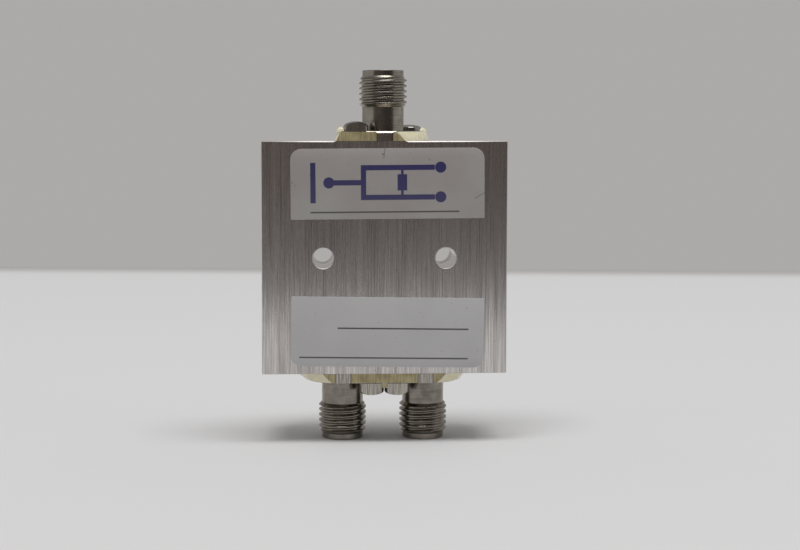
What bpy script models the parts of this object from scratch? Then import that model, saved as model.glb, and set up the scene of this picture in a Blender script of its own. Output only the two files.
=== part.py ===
"""A two-way coaxial power divider: a milled block with one input jack on top and two output jacks below.

Every piece is placed from the centre of the block, which an empty holds at its real place, so that the
part stands on the ends of its two output jacks with its origin between them. x runs to the right,
y runs from the labelled front face to the rear face, and z runs up. Sizes are in metres, written in MM.
"""

import math
from collections import namedtuple

import bmesh
import bpy
from mathutils import Matrix, Vector

MM = 0.001

# Gaps between neighbouring pieces
SEAT_GAP = 0.02 * MM
SLIP_GAP = 0.03 * MM

# The milled block
BLOCK_WIDTH = 31.75 * MM
BLOCK_THICKNESS = 9.525 * MM
BLOCK_HEIGHT = 30.16 * MM
EDGE_BREAK = 0.08 * MM
RAIL_HEIGHT = 5.2 * MM
SIDE_WALL = 1.9 * MM
COVER_LEDGE = 0.9 * MM
POCKET_CORNER_RADIUS = 2.4 * MM
POCKET_CORNER_STEPS = 5

# The two mounting holes through the block, at mid-height, with a post round each inside it
MOUNT_HOLE_DIAMETER = 2.7 * MM
MOUNT_HOLE_INSET = 7.9375 * MM
MOUNT_POST_DIAMETER = 5.2 * MM

# The four screws that hold the rear cover, each in a corner boss
COVER_SCREW_INSET = 2.2 * MM
COVER_BOSS_DIAMETER = 4.4 * MM
COVER_SCREW_DIAMETER = 1.8 * MM
COVER_SCREW_LENGTH = 6.0 * MM
COVER_HEAD_DIAMETER = 3.3 * MM
COVER_HEAD_DEPTH = 0.95 * MM
COVER_SLOT_WIDTH = 0.45 * MM
COVER_SLOT_DEPTH = 0.4 * MM

# The layers in the middle of the block: board, copper, board
BOARD_THICKNESS = 1.5 * MM
COPPER_THICKNESS = 0.1 * MM
FEED_WIDTH = 2.2 * MM
FEED_RUN = 3.58 * MM
OUTPUT_RUN = 1.78 * MM
ARM_WIDTH = 1.2 * MM
ARM_DROP = 1.2 * MM
RESISTOR_GAP = 1.0 * MM
LINE_END_GAP = 0.25 * MM
MITRE = 0.6 * MM
RESISTOR_LENGTH = 2.4 * MM
RESISTOR_WIDTH = 0.9 * MM
RESISTOR_THICKNESS = 0.5 * MM

# The threaded jacks, measured outwards from the back of their flange
FLANGE_THICKNESS = 1.24 * MM
HUB_DIAMETER = 9.72 * MM
EAR_DIAMETER = 4.3 * MM
EAR_X = 3.7 * MM
EAR_INSET = 1.0125 * MM
EAR_RELIEF = 0.12 * MM
FLANGE_SPLIT = 0.3 * MM
NECK_DIAMETER = 5.44 * MM
NECK_LENGTH = 3.15 * MM
THREAD_DIAMETER = 6.25 * MM
THREAD_LENGTH = 4.19 * MM
THREAD_CHAMFER = 0.38 * MM
THREAD_LEAD = 0.45 * MM
RIM_DIAMETER = 5.4 * MM
RIM_LENGTH = 0.56 * MM
RIM_CHAMFER = 0.2 * MM
MOUTH_DIAMETER = 4.6 * MM
MOUTH_DEPTH = 1.98 * MM
INSULATOR_DIAMETER = 4.1 * MM
INSULATOR_DEPTH = 4.6 * MM
SOCKET_DIAMETER = 1.27 * MM
SOCKET_LENGTH = 3.4 * MM
SOCKET_BORE_DIAMETER = 0.94 * MM
SOCKET_BORE_DEPTH = 2.6 * MM
SOCKET_SLOT_WIDTH = 0.16 * MM
SOCKET_SLOT_DEPTH = 2.0 * MM
PIN_DIAMETER = 0.9 * MM
PIN_HOLE_DIAMETER = 2.1 * MM
TAB_LENGTH = 1.8 * MM

# The pan-head screws in the flanges
FLANGE_SCREW_DIAMETER = 1.7 * MM
FLANGE_SCREW_HOLE_DIAMETER = 2.1 * MM
FLANGE_SCREW_REACH = 3.6 * MM
FLANGE_HEAD_DIAMETER = 3.24 * MM
INPUT_HEAD_SIDE = 0.84 * MM
OUTPUT_HEAD_SIDE = 1.2 * MM
REAR_HEAD_SIDE = 0.35 * MM
FLANGE_HEAD_RISE = 0.45 * MM
FLANGE_HEAD_GAP = 0.06 * MM
FLANGE_SLOT_WIDTH = 0.45 * MM
FLANGE_SLOT_DEPTH = 0.4 * MM
HOLE_BOTTOM_GAP = 0.3 * MM

# The sealing compound round the flanges
SEAL_FILM = 0.12 * MM
SEAL_FLARE = 0.6 * MM
SEAL_STEP = 0.05 * MM
SEAL_PLUG_WIDTH = 1.5 * MM
SEAL_PLUG_DEPTH = 0.62 * MM
SEAL_PLUG_HEIGHT = 0.6 * MM

# The two halves of the label
LABEL_WIDTH = 25.0 * MM
LABEL_HEIGHT = 9.1 * MM
LABEL_THICKNESS = 0.1 * MM
LABEL_CORNER_RADIUS = 1.4 * MM
LABEL_CORNER_STEPS = 6
LABEL_SHIFT = 0.36 * MM
LABEL_TOP_MARGIN = 0.9 * MM
LABEL_BOTTOM_MARGIN = 0.9 * MM

# Facets round each turned form
BARREL_STEPS = 40
HOLE_STEPS = 24
SCREW_STEPS = 20
CONTACT_STEPS = 16
HUB_STEPS = 48
EAR_STEPS = 24
DOME_STEPS = 4
SHARP_ANGLE = math.radians(35)
MERGE_DISTANCE = 0.0005 * MM
CUT_MARGIN = 1.0 * MM

# Worked out from the sizes above
HALF_THICKNESS = BLOCK_THICKNESS / 2
HALF_HEIGHT = BLOCK_HEIGHT / 2
STACK_HALF = COPPER_THICKNESS / 2 + BOARD_THICKNESS + 2 * SEAT_GAP
POCKET_WIDTH = BLOCK_WIDTH - 2 * SIDE_WALL
POCKET_HEIGHT = BLOCK_HEIGHT - 2 * RAIL_HEIGHT
CAVITY_WIDTH = POCKET_WIDTH - 2 * COVER_LEDGE
CAVITY_HEIGHT = POCKET_HEIGHT - 2 * COVER_LEDGE
MOUNT_HOLE_X = BLOCK_WIDTH / 2 - MOUNT_HOLE_INSET
ARM_X = (RESISTOR_GAP / 2 + MOUNT_HOLE_X - MOUNT_POST_DIAMETER / 2) / 2
RING_TOP = CAVITY_HEIGHT / 2 - FEED_RUN
OUTPUT_STEP = OUTPUT_RUN + FEED_WIDTH - CAVITY_HEIGHT / 2
RING_BOTTOM = OUTPUT_STEP + ARM_DROP
EAR_Y = HALF_THICKNESS - EAR_INSET
JACK_SPACING = 2 * EAR_X + FLANGE_HEAD_DIAMETER + FLANGE_HEAD_GAP
JACK_REACH = SEAT_GAP + FLANGE_THICKNESS + NECK_LENGTH + THREAD_LENGTH + RIM_LENGTH
JACK_END = FLANGE_THICKNESS + NECK_LENGTH + THREAD_LENGTH + RIM_LENGTH
REFERENCE_PLANE = JACK_END - MOUTH_DEPTH
CAVITY_FACE = -SEAT_GAP - RAIL_HEIGHT - COVER_LEDGE
FRONT_STACK = SEAT_GAP + LABEL_THICKNESS
HOLE_START = -HALF_THICKNESS - CUT_MARGIN
HOLE_END = HALF_THICKNESS + CUT_MARGIN
FAR = 4 * BLOCK_WIDTH

# side is 1 on the top face and -1 on the bottom face; lean is the side of the ear that is at the front
Jack = namedtuple("Jack", "name x side lean")
INPUT = Jack("input_jack", 0.0, 1, -1)
OUTPUT_LEFT = Jack("output_jack_left", -JACK_SPACING / 2, -1, 1)
OUTPUT_RIGHT = Jack("output_jack_right", JACK_SPACING / 2, -1, -1)
JACKS = (INPUT, OUTPUT_LEFT, OUTPUT_RIGHT)


# Scene, materials and modifiers

def clear_scene():
    """Remove whatever the file opened with."""
    for thing in list(bpy.data.objects):
        bpy.data.objects.remove(thing, do_unlink=True)


def new_collection(name):
    """Add a collection to the scene."""
    collection = bpy.data.collections.new(name)
    bpy.context.scene.collection.children.link(collection)
    return collection


def new_material(name, colour, metallic, roughness):
    """A plain surface with one colour."""
    material = bpy.data.materials.new(name)
    material.use_nodes = True
    surface = material.node_tree.nodes["Principled BSDF"]
    surface.inputs["Base Color"].default_value = (*colour, 1.0)
    surface.inputs["Metallic"].default_value = metallic
    surface.inputs["Roughness"].default_value = roughness
    return material


clear_scene()
PARTS = new_collection("coaxial_power_divider")
CUTTERS = new_collection("cutters")

ALUMINIUM = new_material("brushed_aluminium", (0.62, 0.60, 0.58), 1.0, 0.32)
STEEL = new_material("passivated_steel", (0.56, 0.53, 0.49), 1.0, 0.25)
SCREW_STEEL = new_material("screw_steel", (0.50, 0.49, 0.48), 1.0, 0.35)
CONTACT_METAL = new_material("contact_metal", (0.83, 0.66, 0.30), 1.0, 0.25)
WHITE_INSULATOR = new_material("white_insulator", (0.90, 0.90, 0.88), 0.0, 0.45)
BOARD = new_material("board_laminate", (0.80, 0.78, 0.70), 0.0, 0.6)
COPPER = new_material("copper", (0.80, 0.42, 0.27), 1.0, 0.3)
CERAMIC = new_material("resistor_ceramic", (0.12, 0.12, 0.13), 0.0, 0.5)
COMPOUND = new_material("sealing_compound", (0.62, 0.58, 0.36), 0.0, 0.35)
LABEL = new_material("label_film", (0.62, 0.60, 0.64), 0.0, 0.4)

CENTRE = bpy.data.objects.new("block_centre", None)
CENTRE.location = (0.0, FRONT_STACK / 2, JACK_REACH + HALF_HEIGHT)
PARTS.objects.link(CENTRE)


def add_part(name, mesh, material):
    """Make a mesh one named piece of the part."""
    part = bpy.data.objects.new(name, mesh)
    mesh.materials.append(material)
    part.parent = CENTRE
    PARTS.objects.link(part)
    return part


def add_cutter(name, mesh):
    """Make a mesh a guide that other pieces are cut or joined with."""
    cutter = bpy.data.objects.new(name, mesh)
    cutter.parent = CENTRE
    cutter.hide_render = True
    cutter.display_type = "WIRE"
    CUTTERS.objects.link(cutter)
    return cutter


def combine(part, other, operation):
    """Join or cut a piece with another solid."""
    modifier = part.modifiers.new(other.name, "BOOLEAN")
    modifier.operation = operation
    modifier.solver = "EXACT"
    modifier.object = other


def cut(part, *cutters):
    """Cut each of the cutters out of a piece."""
    for cutter in cutters:
        combine(part, cutter, "DIFFERENCE")


def join(part, *others):
    """Join each of the others to a piece."""
    for other in others:
        combine(part, other, "UNION")


def turn(part, steps):
    """Turn a profile in the XZ plane round the Z axis."""
    modifier = part.modifiers.new("turned", "SCREW")
    modifier.axis = "Z"
    modifier.angle = math.tau
    modifier.steps = steps
    modifier.render_steps = steps
    modifier.use_merge_vertices = True
    modifier.merge_threshold = MERGE_DISTANCE
    modifier.use_smooth_shade = True


# Meshes

def to_mesh(name, solid):
    """Write a bmesh to a mesh, smooth apart from its sharp edges."""
    bmesh.ops.recalc_face_normals(solid, faces=solid.faces)
    mesh = bpy.data.meshes.new(name)
    solid.to_mesh(mesh)
    solid.free()
    mesh.shade_smooth()
    mesh.set_sharp_from_angle(angle=SHARP_ANGLE)
    return mesh


def box_solid(low, high):
    """A box between two corners."""
    low = Vector(low)
    high = Vector(high)
    solid = bmesh.new()
    place = Matrix.Translation((low + high) / 2) @ Matrix.Diagonal((*(high - low), 1.0))
    bmesh.ops.create_cube(solid, size=1.0, matrix=place)
    return solid


def round_corners(solid, radius, steps, keep):
    """Round the edges of a box that run along Y and that keep() picks by their place."""
    edges = []
    for edge in solid.edges:
        start, end = (vertex.co for vertex in edge.verts)
        along_y = abs(start.y - end.y) > abs(start.x - end.x) + abs(start.z - end.z)
        if along_y and keep(start):
            edges.append(edge)
    bmesh.ops.bevel(solid, geom=edges, offset=radius, segments=steps, profile=0.5, affect="EDGES")


def slab(name, width, height, y_low, y_high, radius, steps):
    """The mesh of a plate that lies in the XZ plane, with four round corners."""
    solid = box_solid((-width / 2, y_low, -height / 2), (width / 2, y_high, height / 2))
    round_corners(solid, radius, steps, lambda corner: True)
    return to_mesh(name, solid)


def rod(name, centre, axis, diameter, low, high, steps):
    """The mesh of a cylinder along axis "Y" or "Z", from low to high on it, through centre."""
    solid = bmesh.new()
    middle = (low + high) / 2
    if axis == "Y":
        place = Matrix.Translation((centre[0], middle, centre[1])) @ Matrix.Rotation(math.pi / 2, 4, "X")
    else:
        place = Matrix.Translation((centre[0], centre[1], middle))
    bmesh.ops.create_cone(
        solid, cap_ends=True, segments=steps, radius1=diameter / 2, radius2=diameter / 2,
        depth=abs(high - low), matrix=place)
    return to_mesh(name, solid)


def profile_mesh(name, points, closed):
    """A line of points in the XZ plane, for turning: down the outer side, and back up the inner one."""
    solid = bmesh.new()
    vertices = [solid.verts.new((x, 0.0, z)) for x, z in points]
    for start, end in zip(vertices, vertices[1:]):
        solid.edges.new((start, end))
    if closed:
        solid.edges.new((vertices[-1], vertices[0]))
    mesh = bpy.data.meshes.new(name)
    solid.to_mesh(mesh)
    solid.free()
    return mesh


def hull_solid(discs, z_low, z_high):
    """The solid that a band drawn tight round upright cones would fill.

    Each disc is its centre x and y, its radius at z_low, its radius at z_high and its facets.
    """
    solid = bmesh.new()
    for x, y, radius_low, radius_high, steps in discs:
        for radius, z in ((radius_low, z_low), (radius_high, z_high)):
            place = Matrix.Translation((x, y, z))
            bmesh.ops.create_circle(solid, cap_ends=False, radius=radius, segments=steps, matrix=place)
    hull = bmesh.ops.convex_hull(solid, input=solid.verts, use_existing_faces=False)
    left_over = set(hull["geom_interior"] + hull["geom_unused"])
    inner = [item for item in left_over if isinstance(item, bmesh.types.BMVert)]
    bmesh.ops.delete(solid, geom=inner, context="VERTS")
    bmesh.ops.dissolve_limit(solid, angle_limit=math.radians(0.1), verts=solid.verts, edges=solid.edges)
    return solid


def trim(solid, point, outward):
    """Cut away what lies past a plane and close the cut."""
    everything = solid.verts[:] + solid.edges[:] + solid.faces[:]
    result = bmesh.ops.bisect_plane(
        solid, geom=everything, plane_co=point, plane_no=outward, clear_outer=True)
    edges = [item for item in result["geom_cut"] if isinstance(item, bmesh.types.BMEdge)]
    if edges:
        bmesh.ops.contextual_create(solid, geom=edges)


# Places

def mount_holes():
    """The centres of the two mounting holes, as x and z."""
    return [(sign * MOUNT_HOLE_X, 0.0) for sign in (-1, 1)]


def cover_screw_places():
    """The name and centre of each cover screw, as x and z."""
    x = POCKET_WIDTH / 2 - COVER_SCREW_INSET
    z = POCKET_HEIGHT / 2 - COVER_SCREW_INSET
    return {
        "top_left": (-x, z),
        "top_right": (x, z),
        "bottom_left": (-x, -z),
        "bottom_right": (x, -z),
    }


def level(jack, height):
    """The z of a height above the back of a jack's flange."""
    return jack.side * (HALF_HEIGHT + SEAT_GAP + height)


def ears(jack):
    """The name and centre of the front and the rear ear of a jack's flange, as x and y."""
    return {
        "front": (jack.x + jack.lean * EAR_X, -EAR_Y),
        "rear": (jack.x - jack.lean * EAR_X, EAR_Y),
    }


def face_out(part, jack, x, y, height):
    """Place a turned piece with its axis along the jack and its outer end facing out."""
    part.location = (x, y, level(jack, height))
    if jack.side < 0:
        part.rotation_euler = (math.pi, 0.0, 0.0)


# Cutters that several pieces share

def through_cutter(name, place, diameter):
    """A cylinder that runs past both faces of the block."""
    return add_cutter(name, rod(name, place, "Y", diameter, HOLE_START, HOLE_END, HOLE_STEPS))


def outward_cutter(name, place, diameter, jack, low, high):
    """A cylinder along a jack's axis, between two heights above the back of its flange."""
    ends = sorted((level(jack, low), level(jack, high)))
    return add_cutter(name, rod(name, place, "Z", diameter, *ends, SCREW_STEPS))


def box_cutter(name, low, high):
    """A box between two corners."""
    return add_cutter(name, to_mesh(name, box_solid(low, high)))


def turned_cutter(name, points, steps):
    """A turned form, still on its own axis."""
    cutter = add_cutter(name, profile_mesh(name, points, False))
    turn(cutter, steps)
    return cutter


FRONT_TRIM = box_cutter("front_trim", (-FAR, -FAR, -FAR), (FAR, -HALF_THICKNESS, FAR))
REAR_TRIM = box_cutter("rear_trim", (-FAR, HALF_THICKNESS, -FAR), (FAR, FAR, FAR))
MOUNT_HOLES = [
    through_cutter(f"mount_hole_{i}", place, MOUNT_HOLE_DIAMETER)
    for i, place in enumerate(mount_holes())]
POST_CLEARANCES = [
    through_cutter(f"post_clearance_{i}", place, MOUNT_POST_DIAMETER + 2 * SLIP_GAP)
    for i, place in enumerate(mount_holes())]
BOSS_CLEARANCES = [
    through_cutter(f"boss_clearance_{name}", place, COVER_BOSS_DIAMETER + 2 * SLIP_GAP)
    for name, place in cover_screw_places().items()]


# The block and its cover

def build_cavity():
    """The space for the boards, which leaves a post round each mounting hole and a boss in each corner."""
    cavity = add_cutter("board_cavity", slab(
        "board_cavity", CAVITY_WIDTH, CAVITY_HEIGHT, -STACK_HALF, STACK_HALF + CUT_MARGIN,
        POCKET_CORNER_RADIUS - COVER_LEDGE, POCKET_CORNER_STEPS))
    for i, place in enumerate(mount_holes()):
        cut(cavity, through_cutter(f"mount_post_{i}", place, MOUNT_POST_DIAMETER))
    for name, place in cover_screw_places().items():
        cut(cavity, through_cutter(f"cover_boss_{name}", place, COVER_BOSS_DIAMETER))
    return cavity


def jack_bore(jack):
    """The stepped hole behind a jack: wide for its insulator, then narrow for its pin."""
    wide = (INSULATOR_DIAMETER / 2) + SLIP_GAP
    narrow = PIN_HOLE_DIAMETER / 2
    points = [
        (0.0, CUT_MARGIN),
        (wide, CUT_MARGIN),
        (wide, -INSULATOR_DEPTH - SLIP_GAP),
        (narrow, -INSULATOR_DEPTH - SLIP_GAP),
        (narrow, CAVITY_FACE - CUT_MARGIN),
        (0.0, CAVITY_FACE - CUT_MARGIN),
    ]
    bore = turned_cutter(f"{jack.name}_bore", points, BARREL_STEPS)
    face_out(bore, jack, jack.x, 0.0, 0.0)
    return bore


def build_housing():
    """The block: a pocket for the cover, a cavity for the boards, and every hole that goes into it."""
    corner = Vector((BLOCK_WIDTH / 2, HALF_THICKNESS, HALF_HEIGHT))
    solid = box_solid(-corner, corner)
    bmesh.ops.bevel(solid, geom=solid.edges[:], offset=EDGE_BREAK, segments=1, affect="EDGES")
    housing = add_part("housing", to_mesh("housing", solid), ALUMINIUM)
    pocket = add_cutter("cover_pocket", slab(
        "cover_pocket", POCKET_WIDTH, POCKET_HEIGHT, STACK_HALF, HOLE_END,
        POCKET_CORNER_RADIUS, POCKET_CORNER_STEPS))
    cut(housing, pocket, build_cavity(), *MOUNT_HOLES)
    tip = HALF_THICKNESS - COVER_SCREW_LENGTH - HOLE_BOTTOM_GAP
    for name, place in cover_screw_places().items():
        tap = f"cover_tap_{name}"
        diameter = COVER_SCREW_DIAMETER + 2 * SLIP_GAP
        cut(housing, add_cutter(tap, rod(tap, place, "Y", diameter, tip, HOLE_END, SCREW_STEPS)))
    for jack in JACKS:
        cut(housing, jack_bore(jack))
        for end, place in ears(jack).items():
            cut(housing, outward_cutter(
                f"{jack.name}_tap_{end}", place, FLANGE_SCREW_DIAMETER + 2 * SLIP_GAP, jack,
                -FLANGE_SCREW_REACH - HOLE_BOTTOM_GAP, CUT_MARGIN))


def countersink(name, x, z):
    """The cone and the hole in the cover for one screw."""
    head = COVER_HEAD_DIAMETER / 2 + SLIP_GAP
    shank = COVER_SCREW_DIAMETER / 2 + SLIP_GAP
    points = [
        (0.0, CUT_MARGIN),
        (head, CUT_MARGIN),
        (head, 0.0),
        (shank, -COVER_HEAD_DEPTH),
        (shank, -BLOCK_THICKNESS),
        (0.0, -BLOCK_THICKNESS),
    ]
    cone = turned_cutter(f"cover_sink_{name}", points, SCREW_STEPS)
    cone.location = (x, HALF_THICKNESS, z)
    cone.rotation_euler = (-math.pi / 2, 0.0, 0.0)
    return cone


def build_cover():
    """The plate that closes the block flush with its rear face."""
    plate = slab(
        "rear_cover", POCKET_WIDTH - 2 * SLIP_GAP, POCKET_HEIGHT - 2 * SLIP_GAP,
        STACK_HALF + SEAT_GAP, HALF_THICKNESS, POCKET_CORNER_RADIUS - SLIP_GAP, POCKET_CORNER_STEPS)
    cover = add_part("rear_cover", plate, ALUMINIUM)
    cut(cover, *MOUNT_HOLES)
    for name, (x, z) in cover_screw_places().items():
        cut(cover, countersink(name, x, z))


def build_cover_screws():
    """Countersunk slotted screws, flush with the rear face."""
    head = COVER_HEAD_DIAMETER / 2
    shank = COVER_SCREW_DIAMETER / 2
    points = [
        (0.0, -SEAT_GAP),
        (head, -SEAT_GAP),
        (shank, -COVER_HEAD_DEPTH - SEAT_GAP),
        (shank, shank - COVER_SCREW_LENGTH),
        (shank / 2, -COVER_SCREW_LENGTH),
        (0.0, -COVER_SCREW_LENGTH),
    ]
    for corner, (x, z) in cover_screw_places().items():
        name = f"cover_screw_{corner}"
        screw = add_part(name, profile_mesh(name, points, False), SCREW_STEEL)
        turn(screw, SCREW_STEPS)
        screw.location = (x, HALF_THICKNESS, z)
        screw.rotation_euler = (-math.pi / 2, 0.0, 0.0)
        cut(screw, box_cutter(
            f"{name}_slot",
            (x - COVER_HEAD_DIAMETER, HALF_THICKNESS - COVER_SLOT_DEPTH, z - COVER_SLOT_WIDTH / 2),
            (x + COVER_HEAD_DIAMETER, HALF_THICKNESS + CUT_MARGIN, z + COVER_SLOT_WIDTH / 2)))


# The circuit inside the block

def build_boards():
    """The two laminates that hold the copper between them; the rear one is relieved over what lies on it."""
    inner = COPPER_THICKNESS / 2 + SEAT_GAP
    outer = inner + BOARD_THICKNESS
    for name, y_low, y_high in (("front_board", -outer, -inner), ("rear_board", inner, outer)):
        board = add_part(name, slab(
            name, CAVITY_WIDTH - 2 * SLIP_GAP, CAVITY_HEIGHT - 2 * SLIP_GAP, y_low, y_high,
            POCKET_CORNER_RADIUS - COVER_LEDGE - SLIP_GAP, POCKET_CORNER_STEPS), BOARD)
        cut(board, *POST_CLEARANCES, *BOSS_CLEARANCES)
        if name == "rear_board":
            cut(board, *board_reliefs())


def board_reliefs():
    """The notches in the rear board for the three contact tabs and for the resistor."""
    half_tab = PIN_DIAMETER / 2 + 2 * SLIP_GAP
    reliefs = []
    for jack in JACKS:
        low, high = sorted((
            level(jack, CAVITY_FACE + CUT_MARGIN),
            level(jack, CAVITY_FACE - TAB_LENGTH - 2 * SLIP_GAP)))
        reliefs.append(box_cutter(
            f"{jack.name}_relief", (jack.x - half_tab, -half_tab, low), (jack.x + half_tab, half_tab, high)))
    low, high = resistor_box()
    room = Vector((SLIP_GAP, 2 * SLIP_GAP, SLIP_GAP))
    reliefs.append(box_cutter("resistor_relief", low - room, high + room))
    return reliefs


def resistor_box():
    """The corners of the resistor, which lies on the copper across the gap between the two arms."""
    y = COPPER_THICKNESS / 2 + SEAT_GAP
    middle = RING_BOTTOM + ARM_WIDTH / 2
    low = Vector((-RESISTOR_LENGTH / 2, y, middle - RESISTOR_WIDTH / 2))
    high = Vector((RESISTOR_LENGTH / 2, y + RESISTOR_THICKNESS, middle + RESISTOR_WIDTH / 2))
    return low, high


def build_resistor():
    """The chip resistor that isolates the two outputs from each other."""
    add_part("isolation_resistor", to_mesh("isolation_resistor", box_solid(*resistor_box())), CERAMIC)


def circuit_outline():
    """The outline of the copper, as x and z: a feed that splits in two arms, then an output line from each.

    Each arm runs midway between the resistor's gap and the post of a mounting hole.
    """
    feed = FEED_WIDTH / 2
    ring_out = ARM_X + ARM_WIDTH / 2
    ring_in = ARM_X - ARM_WIDTH / 2
    gap = RESISTOR_GAP / 2
    drop = gap + FEED_WIDTH
    end = CAVITY_HEIGHT / 2 - LINE_END_GAP
    out_x = JACK_SPACING / 2
    right = [
        (feed, end),
        (feed, RING_TOP),
        (ring_out - MITRE, RING_TOP),
        (ring_out, RING_TOP - MITRE),
        (ring_out, RING_BOTTOM + MITRE),
        (ring_out - MITRE, RING_BOTTOM),
        (drop, RING_BOTTOM),
        (drop, OUTPUT_STEP),
        (out_x + feed - MITRE, OUTPUT_STEP),
        (out_x + feed, OUTPUT_STEP - MITRE),
        (out_x + feed, -end),
        (out_x - feed, -end),
        (out_x - feed, OUTPUT_STEP - FEED_WIDTH),
        (gap, OUTPUT_STEP - FEED_WIDTH),
        (gap, RING_BOTTOM + ARM_WIDTH),
        (ring_in, RING_BOTTOM + ARM_WIDTH),
        (ring_in, RING_TOP - ARM_WIDTH),
    ]
    left = [(-x, z) for x, z in reversed(right)]
    return right + left


def build_circuit():
    """The copper pattern, a flat outline in the middle plane of the block."""
    curve = bpy.data.curves.new("copper_circuit", "CURVE")
    curve.dimensions = "2D"
    curve.fill_mode = "BOTH"
    curve.extrude = COPPER_THICKNESS / 2
    points = circuit_outline()
    spline = curve.splines.new("POLY")
    spline.points.add(len(points) - 1)
    for point, (x, z) in zip(spline.points, points):
        point.co = (x, z, 0.0, 1.0)
    spline.use_cyclic_u = True
    curve.materials.append(COPPER)
    circuit = bpy.data.objects.new("copper_circuit", curve)
    circuit.parent = CENTRE
    circuit.rotation_euler = (math.pi / 2, 0.0, 0.0)
    PARTS.objects.link(circuit)


# The jacks

def flange_discs(jack, extra_low, extra_high):
    """The hub and two ears of a flange, each grown by extra_low at its back and extra_high at its front."""
    hub = HUB_DIAMETER / 2
    ear = EAR_DIAMETER / 2
    discs = [(jack.x, 0.0, hub + extra_low, hub + extra_high, HUB_STEPS)]
    for x, y in ears(jack).values():
        discs.append((x, y, ear + extra_low, ear + extra_high, EAR_STEPS))
    return discs


def upright_hull(discs, jack, low, high):
    """A hull between two heights above the back of a jack's flange."""
    return hull_solid(discs, level(jack, low), level(jack, high))


def trim_flange(solid, jack, grow):
    """Cut a flange's ears flat just inside the block's faces, and beside the flange next to it."""
    limit = HALF_THICKNESS - EAR_RELIEF + grow
    trim(solid, (0.0, -limit, 0.0), (0.0, -1.0, 0.0))
    trim(solid, (0.0, limit, 0.0), (0.0, 1.0, 0.0))
    if jack.x != 0.0:
        inward = -math.copysign(1.0, jack.x)
        edge = -inward * (FLANGE_SPLIT / 2 - grow)
        trim(solid, (edge, 0.0, 0.0), (inward, 0.0, 0.0))


def build_jack_body(jack):
    """The outer conductor: a threaded barrel on a diamond flange, bored right through."""
    neck = NECK_DIAMETER / 2
    thread = THREAD_DIAMETER / 2
    rim = RIM_DIAMETER / 2
    thread_low = FLANGE_THICKNESS + NECK_LENGTH
    thread_high = thread_low + THREAD_LENGTH
    points = [
        (0.0, JACK_END),
        (rim - RIM_CHAMFER, JACK_END),
        (rim, JACK_END - RIM_CHAMFER),
        (rim, thread_high),
        (thread, thread_high - THREAD_LEAD),
        (thread, thread_low + THREAD_CHAMFER),
        (thread - THREAD_CHAMFER, thread_low),
        (neck, thread_low),
        (neck, FLANGE_THICKNESS / 2),
        (0.0, FLANGE_THICKNESS / 2),
    ]
    body = add_part(f"{jack.name}_body", profile_mesh(f"{jack.name}_body", points, False), STEEL)
    turn(body, BARREL_STEPS)
    face_out(body, jack, jack.x, 0.0, 0.0)

    plate = upright_hull(flange_discs(jack, 0.0, 0.0), jack, 0.0, FLANGE_THICKNESS)
    trim_flange(plate, jack, 0.0)
    flange = add_cutter(f"{jack.name}_flange", to_mesh(f"{jack.name}_flange", plate))
    hub = hub_cutter(f"{jack.name}_hub", jack, HUB_DIAMETER, 0.0, FLANGE_THICKNESS)
    join(body, hub, flange)
    cut(body, FRONT_TRIM, REAR_TRIM, body_bore(jack))
    for end, place in ears(jack).items():
        cut(body, outward_cutter(
            f"{jack.name}_ear_hole_{end}", place, FLANGE_SCREW_HOLE_DIAMETER, jack,
            -CUT_MARGIN, FLANGE_THICKNESS + CUT_MARGIN))


def hub_cutter(name, jack, diameter, low, high):
    """The round middle of a flange, which reaches the faces of the block."""
    ends = sorted((level(jack, low), level(jack, high)))
    return add_cutter(name, rod(name, (jack.x, 0.0), "Z", diameter, *ends, HUB_STEPS))


def body_bore(jack):
    """The bore of the outer conductor: the open mouth, then the seat of the insulator."""
    mouth = MOUTH_DIAMETER / 2
    seat = INSULATOR_DIAMETER / 2 + SLIP_GAP
    points = [
        (0.0, JACK_END + CUT_MARGIN),
        (mouth, JACK_END + CUT_MARGIN),
        (mouth, REFERENCE_PLANE),
        (seat, REFERENCE_PLANE),
        (seat, -CUT_MARGIN),
        (0.0, -CUT_MARGIN),
    ]
    bore = turned_cutter(f"{jack.name}_body_bore", points, BARREL_STEPS)
    face_out(bore, jack, jack.x, 0.0, 0.0)
    return bore


def build_insulator(jack):
    """The white sleeve between the barrel and the contact, with a step that holds the contact."""
    outer = INSULATOR_DIAMETER / 2
    socket = SOCKET_DIAMETER / 2 + SLIP_GAP
    pin = PIN_DIAMETER / 2 + SLIP_GAP
    step = REFERENCE_PLANE - SOCKET_LENGTH - SEAT_GAP
    points = [
        (outer, REFERENCE_PLANE),
        (outer, -INSULATOR_DEPTH),
        (pin, -INSULATOR_DEPTH),
        (pin, step),
        (socket, step),
        (socket, REFERENCE_PLANE),
    ]
    name = f"{jack.name}_insulator"
    insulator = add_part(name, profile_mesh(name, points, True), WHITE_INSULATOR)
    turn(insulator, BARREL_STEPS)
    face_out(insulator, jack, jack.x, 0.0, 0.0)


def build_contact(jack):
    """The centre contact: a slotted socket, a pin into the block, and a half-round tab on the copper."""
    socket = SOCKET_DIAMETER / 2
    bore = SOCKET_BORE_DIAMETER / 2
    pin = PIN_DIAMETER / 2
    top = REFERENCE_PLANE
    shoulder = top - SOCKET_LENGTH
    tip = CAVITY_FACE - TAB_LENGTH
    points = [
        (0.0, top - SOCKET_BORE_DEPTH),
        (bore, top - SOCKET_BORE_DEPTH),
        (bore, top),
        (socket, top),
        (socket, shoulder),
        (pin, shoulder),
        (pin, tip),
        (0.0, tip),
    ]
    name = f"{jack.name}_contact"
    contact = add_part(name, profile_mesh(name, points, False), CONTACT_METAL)
    turn(contact, CONTACT_STEPS)
    face_out(contact, jack, jack.x, 0.0, 0.0)
    cut(contact, *socket_slots(jack), tab_flat(jack))


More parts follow.
